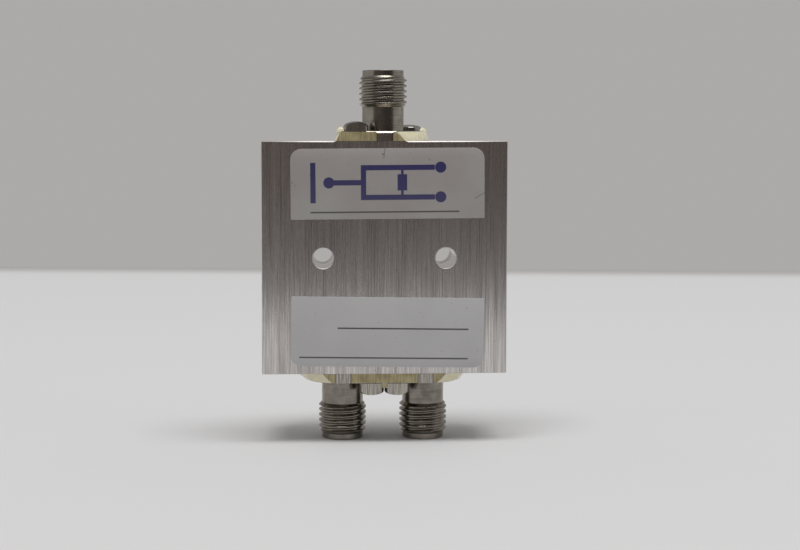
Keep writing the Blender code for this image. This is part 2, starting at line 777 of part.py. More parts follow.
def socket_slots(jack):
    """Two crossed slots that split the socket in four springs."""
    half = SOCKET_SLOT_WIDTH / 2
    reach = SOCKET_DIAMETER
    low, high = sorted((
        level(jack, REFERENCE_PLANE + CUT_MARGIN),
        level(jack, REFERENCE_PLANE - SOCKET_SLOT_DEPTH)))
    slots = []
    for letter, x, y in (("a", reach, half), ("b", half, reach)):
        name = f"{jack.name}_socket_slot_{letter}"
        slots.append(box_cutter(name, (jack.x - x, -y, low), (jack.x + x, y, high)))
    return slots


def tab_flat(jack):
    """What is cut from the end of the pin, so that its flat lies on the copper."""
    flat = COPPER_THICKNESS / 2 + SEAT_GAP
    reach = PIN_DIAMETER
    low, high = sorted((level(jack, CAVITY_FACE), level(jack, CAVITY_FACE - TAB_LENGTH - CUT_MARGIN)))
    name = f"{jack.name}_tab_flat"
    return box_cutter(name, (jack.x - reach, -reach, low), (jack.x + reach, flat, high))


def head_side(jack, end):
    """The height of the straight side of a screw's head; the rear screws have low heads."""
    if end == "rear":
        return REAR_HEAD_SIDE
    return INPUT_HEAD_SIDE if jack.side > 0 else OUTPUT_HEAD_SIDE


def flange_screw_points(side):
    """Half the outline of a flange screw, from the middle of its dome down to its tip."""
    head = FLANGE_HEAD_DIAMETER / 2
    shank = FLANGE_SCREW_DIAMETER / 2
    seat = SEAT_GAP
    dome = []
    for i in range(DOME_STEPS + 1):
        angle = math.pi / 2 * i / DOME_STEPS
        dome.append((head * math.sin(angle), seat + side + FLANGE_HEAD_RISE * math.cos(angle)))
    tip = -FLANGE_THICKNESS - FLANGE_SCREW_REACH
    return dome + [
        (head, seat),
        (shank, seat),
        (shank, tip + shank / 2),
        (shank / 2, tip),
        (0.0, tip),
    ]


def build_flange_screws(jack):
    """The two slotted pan-head screws of a flange; the front one is ground flush with the block."""
    for end, (x, y) in ears(jack).items():
        name = f"{jack.name}_screw_{end}"
        side = head_side(jack, end)
        screw = add_part(name, profile_mesh(name, flange_screw_points(side), False), SCREW_STEEL)
        turn(screw, SCREW_STEPS)
        face_out(screw, jack, x, y, FLANGE_THICKNESS)
        top = FLANGE_THICKNESS + SEAT_GAP + side + FLANGE_HEAD_RISE
        low, high = sorted((level(jack, top + CUT_MARGIN), level(jack, top - FLANGE_SLOT_DEPTH)))
        slot = box_cutter(
            f"{name}_slot",
            (x - FLANGE_HEAD_DIAMETER, y - FLANGE_SLOT_WIDTH / 2, low),
            (x + FLANGE_HEAD_DIAMETER, y + FLANGE_SLOT_WIDTH / 2, high))
        cut(screw, slot, FRONT_TRIM, REAR_TRIM)


# The sealing compound

def seal_solid(jack, name, low_x, high_x):
    """The compound round a flange between two x limits, before the flange is cut from it."""
    discs = flange_discs(jack, SEAL_FLARE, SEAL_FILM)
    solid = upright_hull(discs, jack, 0.0, FLANGE_THICKNESS - SEAL_STEP)
    trim(solid, (low_x, 0.0, 0.0), (-1.0, 0.0, 0.0))
    trim(solid, (high_x, 0.0, 0.0), (1.0, 0.0, 0.0))
    return to_mesh(name, solid)


def flange_clearance(jack, name):
    """Two cutters that take a flange, with a little room round it, out of the compound."""
    low = -CUT_MARGIN
    high = FLANGE_THICKNESS + CUT_MARGIN
    plate = upright_hull(flange_discs(jack, SLIP_GAP, SLIP_GAP), jack, low, high)
    trim_flange(plate, jack, SLIP_GAP)
    return (
        hub_cutter(f"{name}_hub_room", jack, HUB_DIAMETER + 2 * SLIP_GAP, low, high),
        add_cutter(f"{name}_plate_room", to_mesh(f"{name}_plate_room", plate)),
    )


def build_side_seal(jack, name, low_x, high_x):
    """The compound along one side of a flange."""
    seal = add_part(name, seal_solid(jack, name, low_x, high_x), COMPOUND)
    cut(seal, *flange_clearance(jack, name), FRONT_TRIM, REAR_TRIM)


def build_centre_seal():
    """The compound between the two output flanges, with a plug between their front screw heads."""
    name = "output_seal_centre"
    seal = add_part(name, seal_solid(OUTPUT_LEFT, name, OUTPUT_LEFT.x, FAR), COMPOUND)
    other = add_cutter(f"{name}_right", seal_solid(OUTPUT_RIGHT, f"{name}_right", -FAR, OUTPUT_RIGHT.x))
    join(seal, other)
    for jack in (OUTPUT_LEFT, OUTPUT_RIGHT):
        cut(seal, *flange_clearance(jack, f"{name}_{jack.name}"))
    front = -HALF_THICKNESS - CUT_MARGIN
    back = SEAL_PLUG_DEPTH - HALF_THICKNESS
    seat = level(OUTPUT_LEFT, FLANGE_THICKNESS + SEAT_GAP)
    web = FLANGE_SPLIT / 2 - SLIP_GAP
    web_end = level(OUTPUT_LEFT, FLANGE_THICKNESS / 2)
    plug = SEAL_PLUG_WIDTH / 2
    plug_end = level(OUTPUT_LEFT, FLANGE_THICKNESS + SEAL_PLUG_HEIGHT)
    join(
        seal,
        box_cutter(f"{name}_plug", (-plug, front, plug_end), (plug, back, seat)),
        box_cutter(f"{name}_web", (-web, front, (plug_end + seat) / 2), (web, back, web_end)))
    for jack in (OUTPUT_LEFT, OUTPUT_RIGHT):
        cut(seal, outward_cutter(
            f"{name}_head_room_{jack.name}", ears(jack)["front"], FLANGE_HEAD_DIAMETER + 2 * SLIP_GAP, jack,
            FLANGE_THICKNESS, FLANGE_THICKNESS + OUTPUT_HEAD_SIDE))
    cut(seal, FRONT_TRIM, REAR_TRIM)


def build_seals():
    """The compound on the sides of the three flanges."""
    build_side_seal(INPUT, "input_seal_left", -FAR, INPUT.x)
    build_side_seal(INPUT, "input_seal_right", INPUT.x, FAR)
    build_side_seal(OUTPUT_LEFT, "output_seal_left", -FAR, OUTPUT_LEFT.x)
    build_side_seal(OUTPUT_RIGHT, "output_seal_right", OUTPUT_RIGHT.x, FAR)
    build_centre_seal()


# The label

def build_labels():
    """The two halves of the label, each with round corners on its outer edge only."""
    face = -HALF_THICKNESS - SEAT_GAP
    left = LABEL_SHIFT - LABEL_WIDTH / 2
    right = LABEL_SHIFT + LABEL_WIDTH / 2
    upper_top = HALF_HEIGHT - LABEL_TOP_MARGIN
    lower_bottom = LABEL_BOTTOM_MARGIN - HALF_HEIGHT
    halves = (
        ("upper_label", upper_top - LABEL_HEIGHT, upper_top, 1),
        ("lower_label", lower_bottom, lower_bottom + LABEL_HEIGHT, -1),
    )
    for name, bottom, top, outer_side in halves:
        solid = box_solid((left, face - LABEL_THICKNESS, bottom), (right, face, top))
        middle = (bottom + top) / 2
        round_corners(
            solid, LABEL_CORNER_RADIUS, LABEL_CORNER_STEPS,
            lambda corner: (corner.z - middle) * outer_side > 0)
        add_part(name, to_mesh(name, solid), LABEL)


build_housing()
build_cover()
build_cover_screws()
build_boards()
build_circuit()
build_resistor()
for each in JACKS:
    build_jack_body(each)
    build_insulator(each)
    build_contact(each)
    build_flange_screws(each)
build_seals()
build_labels()
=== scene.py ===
# %% [markdown]
# # A coaxial power divider, dressed for a product photograph
#
# The real object is a palm-sized block of brushed aluminium with one threaded coaxial jack on top and
# two below. Its solids are already modelled and packed. This lesson loads them, cuts the threads that
# were too fine for the solids, rounds the edges that catch the light and gives every surface its finish.
# All lengths are in metres, so `MM` turns a size in millimetres into one that Blender uses.

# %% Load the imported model
import math

import bmesh
import bpy
from mathutils import Matrix, Vector


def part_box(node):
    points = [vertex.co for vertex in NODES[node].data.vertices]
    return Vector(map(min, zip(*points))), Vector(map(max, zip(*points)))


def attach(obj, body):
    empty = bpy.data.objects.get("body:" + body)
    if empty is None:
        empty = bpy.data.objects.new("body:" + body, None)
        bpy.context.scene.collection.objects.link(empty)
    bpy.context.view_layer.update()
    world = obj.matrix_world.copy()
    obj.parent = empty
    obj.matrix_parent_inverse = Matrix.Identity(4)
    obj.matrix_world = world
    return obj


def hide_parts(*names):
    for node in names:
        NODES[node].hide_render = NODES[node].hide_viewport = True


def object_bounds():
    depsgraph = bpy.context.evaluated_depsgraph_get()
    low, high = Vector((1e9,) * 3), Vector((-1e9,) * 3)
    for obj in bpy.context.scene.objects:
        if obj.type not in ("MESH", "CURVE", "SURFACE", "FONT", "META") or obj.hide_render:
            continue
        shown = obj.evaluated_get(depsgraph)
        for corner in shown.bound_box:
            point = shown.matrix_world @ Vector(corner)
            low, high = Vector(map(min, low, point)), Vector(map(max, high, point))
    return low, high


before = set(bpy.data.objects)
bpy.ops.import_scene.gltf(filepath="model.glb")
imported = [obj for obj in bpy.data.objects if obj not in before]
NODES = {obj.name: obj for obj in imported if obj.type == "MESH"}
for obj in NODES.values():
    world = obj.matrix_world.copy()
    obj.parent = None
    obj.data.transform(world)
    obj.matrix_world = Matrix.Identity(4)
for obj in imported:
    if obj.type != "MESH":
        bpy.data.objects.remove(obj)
CAD_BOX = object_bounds()
MM = 0.001
print("nodes:", len(NODES), "box in mm:", [round(value / MM, 2) for value in CAD_BOX[1] - CAD_BOX[0]])

# %% [markdown]
# ## The camera
#
# The photograph was taken from a little above and to the left of the block. A camera at that place, with
# the block's front face about 19 cm away, gives the block's outline and the ellipses of the jacks their
# size and slant. The focal length is written in pixels of the picture, because that is what can be
# measured in one. The small shift stands for the cropping of the photograph.

# %% Place the camera
PHOTO_WIDTH = 800
PHOTO_HEIGHT = 550
FOCAL_LENGTH_IN_PIXELS = 1500
OPTICAL_CENTRE = (360, 235)
FRONT_DISTANCE = 192.6 * MM
CAMERA_OFFSET = Vector((-10.42 * MM, 0.0, 18.14 * MM))
LOOK_DOWN = math.radians(4.49)
LOOK_RIGHT = math.radians(2.15)

BLOCK_LOW, BLOCK_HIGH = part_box("housing")
BLOCK_CENTRE = (BLOCK_LOW + BLOCK_HIGH) / 2
FRONT_FACE = BLOCK_LOW.y


def add_object(name, data):
    """Put a camera, a lamp or a mesh into the scene."""
    thing = bpy.data.objects.new(name, data)
    bpy.context.scene.collection.objects.link(thing)
    return thing


camera_data = bpy.data.cameras.new("photo_camera")
camera_data.lens = camera_data.sensor_width * FOCAL_LENGTH_IN_PIXELS / PHOTO_WIDTH
camera_data.shift_x = (PHOTO_WIDTH / 2 - OPTICAL_CENTRE[0]) / PHOTO_WIDTH
camera_data.shift_y = (OPTICAL_CENTRE[1] - PHOTO_HEIGHT / 2) / PHOTO_WIDTH
camera = add_object("photo_camera", camera_data)
camera.location = Vector((BLOCK_CENTRE.x, FRONT_FACE - FRONT_DISTANCE, BLOCK_CENTRE.z)) + CAMERA_OFFSET
camera.rotation_euler = (math.pi / 2 - LOOK_DOWN, 0.0, -LOOK_RIGHT)
bpy.context.scene.camera = camera
bpy.context.scene.view_settings.view_transform = "Standard"
print("lens in mm:", round(camera_data.lens, 1))

# %% [markdown]
# ## Helpers for meshes
#
# Every new piece starts as a bmesh, is shaped by operators and ends as an object at the origin. The
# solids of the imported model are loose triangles. A copy whose doubles are merged and whose flat triangles
# are dissolved again has real edges, which can be rounded and shaded smooth.

# %% Copy a solid and finish a piece
MERGE = 0.0004 * MM
FLAT_ANGLE = math.radians(0.6)
SMOOTH_ANGLE = math.radians(38)


def merged_copy(node):
    """A bmesh of a node, with its loose triangles joined into flat faces."""
    solid = bmesh.new()
    solid.from_mesh(NODES[node].data)
    bmesh.ops.remove_doubles(solid, verts=solid.verts, dist=MERGE)
    bmesh.ops.dissolve_limit(solid, angle_limit=FLAT_ANGLE, verts=solid.verts, edges=solid.edges)
    return solid


def mark_faces(solid, index, test):
    """Give the faces whose centre and normal pass a test another of the piece's materials."""
    bmesh.ops.recalc_face_normals(solid, faces=solid.faces)
    marked = [face for face in solid.faces if test(face.calc_center_median(), face.normal)]
    for face in marked:
        face.material_index = index
    return len(marked)


def finish_piece(name, solid, materials, node):
    """Make a bmesh an object that rides on the body and stands for a node."""
    bmesh.ops.recalc_face_normals(solid, faces=solid.faces)
    for face in solid.faces:
        face.smooth = True
    for edge in solid.edges:
        edge.smooth = edge.is_manifold and edge.calc_face_angle(0.0) < SMOOTH_ANGLE
    mesh = bpy.data.meshes.new(name)
    for material in materials:
        mesh.materials.append(material)
    solid.to_mesh(mesh)
    solid.free()
    piece = add_object(name, mesh)
    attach(piece, "root")
    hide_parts(node)
    return piece


print("edges stay sharp from", round(math.degrees(SMOOTH_ANGLE)), "degrees")

# %% Shape and cut
ORIGIN = (0.0, 0.0, 0.0)
UP = (0.0, 0.0, 1.0)
DOWN = (0.0, 0.0, -1.0)


def box_solid(sizes, centre):
    """A bmesh of a box."""
    box = bmesh.new()
    bmesh.ops.create_cube(box, size=1.0)
    bmesh.ops.scale(box, vec=sizes, verts=box.verts)
    bmesh.ops.translate(box, vec=centre, verts=box.verts)
    return box


def spun(points, steps, turns=1, climb=0.0):
    """Turn a line of (radius, height) points round the Z axis, and raise it by its climb at each turn."""
    solid = bmesh.new()
    line = [solid.verts.new((radius, 0.0, height)) for radius, height in points]
    edges = [solid.edges.new(pair) for pair in zip(line, line[1:])]
    bmesh.ops.spin(
        solid, geom=line + edges, cent=ORIGIN, axis=UP, dvec=(0.0, 0.0, climb / steps),
        angle=math.tau * turns, steps=steps * turns, use_merge=not climb)
    bmesh.ops.remove_doubles(solid, verts=solid.verts, dist=MERGE)
    bmesh.ops.recalc_face_normals(solid, faces=solid.faces)
    return solid


def soften(solid, edges, width, segments=2):
    """Round some edges of a bmesh."""
    bmesh.ops.bevel(
        solid, geom=edges, offset=width, offset_type="OFFSET", segments=segments, profile=0.5,
        affect="EDGES", clamp_overlap=True, material=-1)


def slice_at(solid, point, direction, clear=False):
    """Cut a bmesh's faces along a plane, clear what lies beyond it if asked, and return the cut's edges."""
    everything = solid.verts[:] + solid.edges[:] + solid.faces[:]
    cut = bmesh.ops.bisect_plane(
        solid, geom=everything, plane_co=point, plane_no=direction, clear_outer=clear)
    return [item for item in cut["geom_cut"] if isinstance(item, bmesh.types.BMEdge)]


def cut_flat(solid, point, direction):
    """Cut away what lies beyond a plane, and close the cut."""
    slice_at(solid, point, direction, clear=True)
    bmesh.ops.holes_fill(solid, edges=[edge for edge in solid.edges if edge.is_boundary])


def apply_boolean(solid, other, operation):
    """Join or cut one bmesh with another, which is used up."""
    pair = []
    for shape in (solid, other):
        bmesh.ops.recalc_face_normals(shape, faces=shape.faces)
        mesh = bpy.data.meshes.new("boolean_input")
        shape.to_mesh(mesh)
        shape.free()
        pair.append(add_object("boolean_input", mesh))
    modifier = pair[0].modifiers.new("boolean", "BOOLEAN")
    modifier.operation = operation
    modifier.solver = "EXACT"
    modifier.object = pair[1]
    bpy.context.view_layer.update()
    result = bmesh.new()
    result.from_object(pair[0], bpy.context.evaluated_depsgraph_get())
    for item in pair:
        mesh = item.data
        bpy.data.objects.remove(item)
        bpy.data.meshes.remove(mesh)
    return result


print("points closer than", MERGE / MM, "mm are merged")

# %% [markdown]
# ## Helpers for materials
#
# A finish on a real part is never one colour: brushing, turning and handling leave marks at a few sizes.
# The marks that more than one material needs are node groups, built once with named inputs. All of them
# read Object coordinates in metres, so a mark has the same real size on every piece.

# %% Numbers and patterns in a material
NOISE_RANGE = (0.3, 0.7)


def add_node(tree, kind, **settings):
    """Add a node and set its properties."""
    node = tree.nodes.new(kind)
    for name, value in settings.items():
        setattr(node, name, value)
    return node


def feed(tree, socket, value):
    """Link a socket to another, or set its value."""
    if isinstance(value, bpy.types.NodeSocket):
        tree.links.new(value, socket)
    else:
        socket.default_value = value


def calculate(tree, operation, *values, clamp=False):
    """A Math node, as its output socket."""
    node = add_node(tree, "ShaderNodeMath", operation=operation, use_clamp=clamp)
    for socket, value in zip(node.inputs, values):
        feed(tree, socket, value)
    return node.outputs["Value"]


def weigh(tree, *parts):
    """A sum of sockets, each times its weight."""
    total = 0.0
    for socket, weight in parts:
        total = calculate(tree, "ADD", calculate(tree, "MULTIPLY", socket, weight), total)
    return total


def diagonal(tree, width, height):
    """The length of a diagonal, from the two sides."""
    squares = [calculate(tree, "MULTIPLY", side, side) for side in (width, height)]
    return calculate(tree, "SQRT", calculate(tree, "ADD", *squares))


def remap(tree, value, low, high, to_low=0.0, to_high=1.0):
    """A smooth Map Range node, as its output socket."""
    node = add_node(tree, "ShaderNodeMapRange", interpolation_type="SMOOTHSTEP")
    for socket, item in zip(node.inputs, (value, low, high, to_low, to_high)):
        feed(tree, socket, item)
    return node.outputs["Result"]


def spread(tree, pattern, low=0.0, high=1.0):
    """Stretch a noise, from the range that it mostly keeps to, over another range."""
    return remap(tree, pattern, *NOISE_RANGE, low, high)


print("noise is taken to lie between", NOISE_RANGE)

# %% Vectors, colours and noise


def split_axes(tree, vector):
    """The X, Y and Z of a vector, as output sockets."""
    node = add_node(tree, "ShaderNodeSeparateXYZ")
    feed(tree, node.inputs["Vector"], vector)
    return node.outputs["X"], node.outputs["Y"], node.outputs["Z"]


def join_axes(tree, x, y, z):
    """A vector of three sockets or numbers."""
    node = add_node(tree, "ShaderNodeCombineXYZ")
    for socket, value in zip(node.inputs, (x, y, z)):
        feed(tree, socket, value)
    return node.outputs["Vector"]


def blend_colours(tree, amount, first, second):
    """A Mix node for colours, as its output socket."""
    node = add_node(tree, "ShaderNodeMix", data_type="RGBA", clamp_factor=True)
    sockets = [socket for socket in node.inputs if socket.type == "RGBA"]
    feed(tree, node.inputs["Factor"], amount)
    for socket, colour in zip(sockets, (first, second)):
        feed(tree, socket, colour if isinstance(colour, bpy.types.NodeSocket) else (*colour, 1.0))
    return next(socket for socket in node.outputs if socket.type == "RGBA")


def noise(tree, vector, scale, detail=2.0, roughness=0.5):
    """A Noise Texture node, as its output socket."""
    node = add_node(tree, "ShaderNodeTexNoise")
    feed(tree, node.inputs["Vector"], vector)
    node.inputs["Scale"].default_value = scale
    node.inputs["Detail"].default_value = detail
    node.inputs["Roughness"].default_value = roughness
    return node.outputs["Fac"]


def moved(tree, vector, offset, turn, scale):
    """A Mapping node that scales, then turns, then shifts a vector."""
    node = add_node(tree, "ShaderNodeMapping")
    feed(tree, node.inputs["Vector"], vector)
    node.inputs["Location"].default_value = offset
    node.inputs["Rotation"].default_value = turn
    node.inputs["Scale"].default_value = (scale, scale, scale)
    return node.outputs["Vector"]


print("patterns are measured in metres, so a length of", MM, "is a millimetre")

# %% Groups and materials


def new_group(name, inputs, output):
    """A node group with a Vector input, some float inputs and one float output."""
    group = bpy.data.node_groups.new(name, "ShaderNodeTree")
    group.interface.new_socket("Vector", in_out="INPUT", socket_type="NodeSocketVector")
    for socket_name, value in inputs.items():
        socket = group.interface.new_socket(socket_name, in_out="INPUT", socket_type="NodeSocketFloat")
        socket.default_value = value
    group.interface.new_socket(output, in_out="OUTPUT", socket_type="NodeSocketFloat")
    return group, group.nodes.new("NodeGroupInput").outputs, group.nodes.new("NodeGroupOutput").inputs


def use_group(tree, group, vector, **values):
    """Place a group in a material and return its output socket."""
    node = add_node(tree, "ShaderNodeGroup", node_tree=group)
    feed(tree, node.inputs["Vector"], vector)
    for name, value in values.items():
        feed(tree, node.inputs[name], value)
    return node.outputs[0]


def new_material(name):
    """A material with a Principled BSDF, and the Object coordinates that its patterns read."""
    material = bpy.data.materials.new(name)
    material.use_nodes = True
    tree = material.node_tree
    place = add_node(tree, "ShaderNodeTexCoord").outputs["Object"]
    return material, tree, tree.nodes["Principled BSDF"], place


def set_surface(tree, surface, colour, roughness, metallic, height, distance):
    """Feed a surface its colour and roughness, and a height pattern as a bump."""
    feed(tree, surface.inputs["Base Color"], colour)
    feed(tree, surface.inputs["Roughness"], roughness)
    surface.inputs["Metallic"].default_value = metallic
    bump = add_node(tree, "ShaderNodeBump")
    bump.inputs["Distance"].default_value = distance
    tree.links.new(height, bump.inputs["Height"])
    tree.links.new(bump.outputs["Normal"], surface.inputs["Normal"])


print("materials start from a Principled BSDF and Object coordinates")

# %% [markdown]
# ## Marks that several finishes share
#
# Brushing leaves streaks that are long one way and as fine as a hair the other way. A noise texture whose
# coordinates are squeezed along the streaks gives them. Turning leaves the same streaks round an axis,
# which a noise that changes only along that axis gives. Handling leaves small dark specks, where only the
# highest peaks of a coarse noise are kept.

# %% Build the shared groups
SPECK_EDGE = 0.05


def build_streaks():
    """Long fine streaks along Z, from 0 to 1."""
    group, given, result = new_group("brushed_streaks", {"Width": 0.0002, "Length": 0.006}, "Streak")
    x, y, z = split_axes(group, given["Vector"])
    across = calculate(group, "DIVIDE", x, given["Width"])
    through = calculate(group, "DIVIDE", y, given["Width"])
    along = calculate(group, "DIVIDE", z, given["Length"])
    feed(group, result["Streak"], noise(group, join_axes(group, across, through, along), 1.0, 2.0, 0.6))
    return group


def build_specks():
    """Sparse small specks: 1 in a speck and 0 elsewhere."""
    group, given, result = new_group("specks", {"Size": 0.0005, "Amount": 0.3}, "Mask")
    x, y, z = split_axes(group, given["Vector"])
    cell = [calculate(group, "DIVIDE", axis, given["Size"]) for axis in (x, y, z)]
    edge = calculate(group, "SUBTRACT", 1.0, given["Amount"])
    full = calculate(group, "ADD", edge, SPECK_EDGE)
    feed(group, result["Mask"], remap(group, noise(group, join_axes(group, *cell), 1.0, 1.0), edge, full))
    return group


STREAKS = build_streaks()
SPECKS = build_specks()
print("groups:", [group.name for group in bpy.data.node_groups])

# %% [markdown]
# ## Brushed aluminium
#
# The block was brushed up and down. Streaks a ninth of a millimetre wide lie on broader and softer
# bands, and both change the colour, the roughness and the height a little. The reflections are spread
# sideways, across the streaks, which is what Anisotropic does on an upright face. The top and bottom were
# milled and are duller, with their streaks from left to right.

# %% The block's finishes
ALUMINIUM_LIGHT = (0.86, 0.84, 0.81)
ALUMINIUM_MIDDLE = (0.59, 0.56, 0.54)
ALUMINIUM_DARK = (0.36, 0.335, 0.32)
SCRATCH_DARK = (0.16, 0.14, 0.13)
SCRATCH_COVER = 0.5
DARK_TO_MIDDLE = (0.32, 0.52)
MIDDLE_TO_LIGHT = (0.48, 0.68)
DULLNESS_SWING = 0.04


def brushed_aluminium(name, along_z, sideways_spread, dullness):
    """Brushing with fine, middling and broad streaks, and a few specks."""
    material, tree, surface, place = new_material(name)
    if not along_z:
        x, y, z = split_axes(tree, place)
        place = join_axes(tree, y, z, x)
    fine = use_group(tree, STREAKS, place, Width=0.11 * MM, Length=8.0 * MM)
    middle = use_group(tree, STREAKS, place, Width=0.42 * MM, Length=22.0 * MM)
    broad = use_group(tree, STREAKS, place, Width=3.0 * MM, Length=70.0 * MM)
    speck = use_group(tree, SPECKS, place, Size=0.45 * MM, Amount=0.24)
    worn = weigh(tree, (fine, 0.55), (middle, 0.25), (broad, 0.2))
    colour = blend_colours(tree, remap(tree, worn, *DARK_TO_MIDDLE), ALUMINIUM_DARK, ALUMINIUM_MIDDLE)
    colour = blend_colours(tree, remap(tree, worn, *MIDDLE_TO_LIGHT), colour, ALUMINIUM_LIGHT)
    colour = blend_colours(tree, calculate(tree, "MULTIPLY", speck, SCRATCH_COVER), colour, SCRATCH_DARK)
    dull = spread(tree, worn, dullness + DULLNESS_SWING, dullness - DULLNESS_SWING)
    surface.inputs["Anisotropic"].default_value = sideways_spread
    set_surface(tree, surface, colour, dull, metallic=1.0, height=fine, distance=0.02 * MM)
    return material


BRUSHED = brushed_aluminium("brushed_aluminium", along_z=True, sideways_spread=0.9, dullness=0.26)
MILLED = brushed_aluminium("milled_aluminium", along_z=False, sideways_spread=0.0, dullness=0.62)
print("made:", BRUSHED.name, MILLED.name)

# %% [markdown]
# The walls of the two through holes were drilled. They are smoother than the brushed faces, so at the
# flat angle of the camera they mirror the background, and the drill left rings along their depth.

# %% The holes' finish
DRILLED_LIGHT = (0.82, 0.8, 0.78)
DRILLED_DARK = (0.58, 0.56, 0.54)


def drilled_aluminium():
    """Bright metal with fine rings along Y."""
    material, tree, surface, place = new_material("drilled_aluminium")
    x, y, z = split_axes(tree, place)
    ring = use_group(tree, STREAKS, join_axes(tree, x, z, y), Width=4.0 * MM, Length=0.12 * MM)
    colour = blend_colours(tree, ring, DRILLED_DARK, DRILLED_LIGHT)
    dull = spread(tree, ring, 0.3, 0.16)
    set_surface(tree, surface, colour, dull, metallic=1.0, height=ring, distance=0.01 * MM)
    return material


DRILLED = drilled_aluminium()
print("made:", DRILLED.name)

# %% [markdown]
# ## Turned steel
#
# The jacks are turned from stainless steel and passivated, which leaves them a dark warm grey. The
# lathe's marks run round the barrel, so their pattern changes along the barrel only. Where the flange was
# ground level with the block, the bare metal is lighter and has the streaks of the grinding.

# %% The jacks' and screws' finishes
STEEL_LIGHT = (0.31, 0.288, 0.25)
STEEL_DARK = (0.185, 0.168, 0.143)
SCREW_LIGHT = (0.36, 0.345, 0.33)
SCREW_DARK = (0.22, 0.21, 0.2)
BARE_LIGHT = (0.53, 0.50, 0.44)
BARE_DARK = (0.28, 0.26, 0.235)
GRINDING_CONTRAST = (0.35, 0.65)


def turned_steel(name, light, dark):
    """Fine rings round an upright axis, and soft blotches."""
    material, tree, surface, place = new_material(name)
    ring = use_group(tree, STREAKS, place, Width=6.0 * MM, Length=0.05 * MM)
    blotch = noise(tree, place, 900.0, 3.0)
    worn = weigh(tree, (ring, 0.5), (blotch, 0.5))
    colour = blend_colours(tree, spread(tree, worn), dark, light)
    dull = spread(tree, worn, 0.28, 0.19)
    set_surface(tree, surface, colour, dull, metallic=1.0, height=ring, distance=0.0005 * MM)
    return material


def ground_steel():
    """Bare ground metal with upright streaks."""
    material, tree, surface, place = new_material("ground_steel")
    streak = use_group(tree, STREAKS, place, Width=0.13 * MM, Length=4.0 * MM)
    colour = blend_colours(tree, remap(tree, streak, *GRINDING_CONTRAST), BARE_DARK, BARE_LIGHT)
    dull = spread(tree, streak, 0.26, 0.18)
    set_surface(tree, surface, colour, dull, metallic=1.0, height=streak, distance=0.008 * MM)
    return material


STEEL = turned_steel("turned_steel", STEEL_LIGHT, STEEL_DARK)
SCREW_STEEL = turned_steel("screw_steel", SCREW_LIGHT, SCREW_DARK)
GROUND_STEEL = ground_steel()
print("made:", STEEL.name, SCREW_STEEL.name, GROUND_STEEL.name)

# %% [markdown]
# ## Sealing compound
#
# A hard cream compound was laid round the flanges and then ground off level with the block. Its free
# surface is glossy and uneven. Where it was ground it is darker and duller, with fine upright streaks.

# %% The compound's finishes
COMPOUND_PALE = (0.88, 0.85, 0.64)
COMPOUND_DEEP = (0.76, 0.71, 0.47)
GROUND_LIGHT = (0.52, 0.46, 0.26)
GROUND_DARK = (0.27, 0.22, 0.12)


def free_compound():
    """The glossy free surface, with clouds and small dents."""
    material, tree, surface, place = new_material("free_compound")
    cloud = noise(tree, place, 800.0, 3.0)
    colour = blend_colours(tree, cloud, COMPOUND_DEEP, COMPOUND_PALE)
    dull = spread(tree, cloud, 0.18, 0.32)
    set_surface(tree, surface, colour, dull, metallic=0.0, height=cloud, distance=0.25 * MM)
    return material


def ground_compound():
    """The dull streaked surface that lies level with the block."""
    material, tree, surface, place = new_material("ground_compound")
    streak = use_group(tree, STREAKS, place, Width=0.12 * MM, Length=3.0 * MM)
    stain = noise(tree, place, 600.0, 2.0)
    worn = weigh(tree, (streak, 0.6), (stain, 0.4))
    colour = blend_colours(tree, remap(tree, worn, *GRINDING_CONTRAST), GROUND_DARK, GROUND_LIGHT)
    dull = spread(tree, streak, 0.5, 0.38)
    set_surface(tree, surface, colour, dull, metallic=0.0, height=streak, distance=0.02 * MM)
    return material


FREE_COMPOUND = free_compound()
GROUND_COMPOUND = ground_compound()
print("made:", FREE_COMPOUND.name, GROUND_COMPOUND.name)

# %% [markdown]
# ## Label film
#
# The label is a satin plastic film with a faint tooth and a few specks. Its two halves carry a plain
# print. The upper one has a generic drawing of a line that splits in two, with a resistor between the
# arms, and the lower one has two thin rules to write on. Each stroke is a bar or a line with round ends
# that is worked out from the distance to its middle, so the print stays sharp at any size. A dot is a
# line without length.

# %% Strokes for the print
INK_EDGE = 0.03
FAR_AWAY = 1000.0

# Bars, in millimetres from the label's middle: middle x and z, then half the width and height
UPPER_BARS = [
    (-9.6, 0.15, 0.34, 2.6),
    (-5.2, 0.15, 2.1, 0.34),
    (-3.1, 0.15, 0.34, 2.25),
    (1.5, 2.06, 4.6, 0.34),
    (1.5, -1.76, 4.6, 0.34),
    (1.9, 0.15, 0.17, 1.9),
    (1.9, 0.15, 0.62, 1.05),
]
UPPER_RULES = [(-0.35, -3.65, 9.6, 0.1)]
LOWER_RULES = [(2.03, 0.465, 8.5, 0.1), (-0.44, -3.38, 10.95, 0.1)]

# Dots, scratches and specks with round ends: both ends, then half the width
UPPER_DOTS = [
    (-7.55, 0.15, -7.55, 0.15, 0.72),
    (6.85, 2.06, 6.85, 2.06, 0.72),
    (6.85, -1.76, 6.85, -1.76, 0.72),
]
WEAR_MARKS = [
    (-0.22, 5.21, -0.47, 3.29, 0.05),
    (11.28, -2.0, 12.57, -1.23, 0.05),
    (-0.60, 3.80, -0.60, 3.80, 0.12),
    (-12.28, 0.23, -12.28, 0.23, 0.10),
    (-11.9, -0.16, -11.9, -0.16, 0.08),
]


